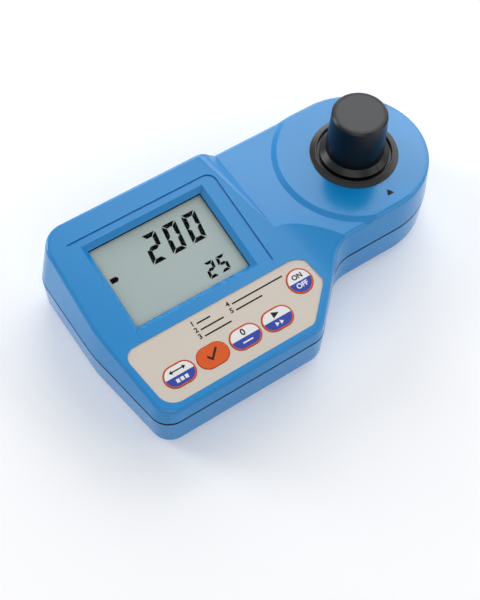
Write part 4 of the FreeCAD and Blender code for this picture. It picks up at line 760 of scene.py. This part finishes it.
def white_floor():
    """Matt white paper that keeps the shadow, lifted where it is shown, and plain white further out."""
    material = bpy.data.materials.new("paper_backdrop_white_matt")
    material.use_nodes = True
    tree = material.node_tree
    tree.nodes.clear()
    shown = shown_rays(tree)
    lift = add(tree, "ShaderNodeMath", {0: shown, 1: FLOOR_LIFT}, operation="MULTIPLY").outputs[0]
    paper = add(tree, "ShaderNodeBsdfDiffuse", {"Color": linear(PAPER_CODE)})
    glow = add(tree, "ShaderNodeEmission", {"Color": linear(WHITE_CODE), "Strength": lift})
    near = add(tree, "ShaderNodeAddShader", {0: paper.outputs[0], 1: glow.outputs[0]})
    place = add(tree, "ShaderNodeTexCoord").outputs["Object"]
    distance = add(tree, "ShaderNodeVectorMath", {0: place}, operation="LENGTH").outputs["Value"]
    far = add(tree, "ShaderNodeMapRange", {
        "Value": distance, "From Min": WHITE_START, "From Max": WHITE_END}, interpolation_type="SMOOTHSTEP")
    share = add(tree, "ShaderNodeMath", {0: shown, 1: far.outputs["Result"]}, operation="MULTIPLY").outputs[0]
    white = add(tree, "ShaderNodeEmission", {"Color": linear(WHITE_CODE), "Strength": 1.0})
    mixed = add(tree, "ShaderNodeMixShader", {0: share, 1: near.outputs[0], 2: white.outputs[0]})
    add(tree, "ShaderNodeOutputMaterial", {"Surface": mixed.outputs[0]})
    reach = FLOOR_REACH
    corners = [(-reach, -reach, 0), (reach, -reach, 0), (reach, reach, 0), (-reach, reach, 0)]
    mesh = bpy.data.meshes.new("floor")
    mesh.from_pydata(corners, [], [(0, 1, 2, 3)])
    mesh.materials.append(material)
    floor = bpy.data.objects.new("floor", mesh)
    bpy.context.scene.collection.objects.link(floor)


def studio_world():
    """An even soft fill, which the camera, reflections and clear glass see as plain white."""
    world = bpy.data.worlds.new("studio")
    bpy.context.scene.world = world
    world.use_nodes = True
    tree = world.node_tree
    tree.nodes.clear()
    fill = add(tree, "ShaderNodeBackground", {"Color": linear(FILL_CODE), "Strength": FILL_STRENGTH})
    white = add(tree, "ShaderNodeBackground", {"Color": linear(WHITE_CODE), "Strength": 1.0})
    mixed = add(tree, "ShaderNodeMixShader", {0: shown_rays(tree), 1: fill.outputs[0], 2: white.outputs[0]})
    add(tree, "ShaderNodeOutputWorld", {"Surface": mixed.outputs[0]})


def softbox(name, direction, distance, width, height, radiance, turn):
    """A soft light that faces the object, with its power worked out from how bright its face looks."""
    light = bpy.data.lights.new(name, "AREA")
    light.shape = "RECTANGLE"
    light.size, light.size_y = width, height
    light.energy = radiance * math.pi * width * height
    lamp = bpy.data.objects.new(name, light)
    bpy.context.scene.collection.objects.link(lamp)
    towards = Vector(direction).normalized()
    lamp.location = towards * distance
    facing = towards.to_track_quat("Z", "Y") @ Quaternion((0, 0, 1), math.radians(turn))
    lamp.rotation_euler = facing.to_euler()


def photo_camera():
    """The camera at the photo's place, turned and rolled as it was."""
    azimuth, elevation = math.radians(CAMERA_AZIMUTH), math.radians(CAMERA_ELEVATION)
    roll = math.radians(CAMERA_ROLL)
    level = math.cos(elevation)
    right = Vector((math.cos(azimuth), math.sin(azimuth), 0))
    back = Vector((math.sin(azimuth) * level, -math.cos(azimuth) * level, math.sin(elevation)))
    up = back.cross(right)
    rolled_right = right * math.cos(roll) + up * math.sin(roll)
    rolled_up = up * math.cos(roll) - right * math.sin(roll)
    lens = bpy.data.cameras.new("photo_camera")
    lens.sensor_fit = "VERTICAL"
    lens.sensor_height = SENSOR_HEIGHT
    lens.lens = FOCAL_PIXELS / PICTURE_HEIGHT * SENSOR_HEIGHT
    camera = bpy.data.objects.new("photo_camera", lens)
    bpy.context.scene.collection.objects.link(camera)
    turn = Matrix((rolled_right, rolled_up, back)).transposed().to_4x4()
    camera.matrix_world = Matrix.Translation((Vector(CAMERA_AIM) + back * CAMERA_DISTANCE) * MM) @ turn
    bpy.context.scene.camera = camera


white_floor()
studio_world()
for lamp_name, lamp_values in LAMPS.items():
    softbox(lamp_name, *lamp_values)
photo_camera()
bpy.context.scene.view_settings.view_transform = "Standard"
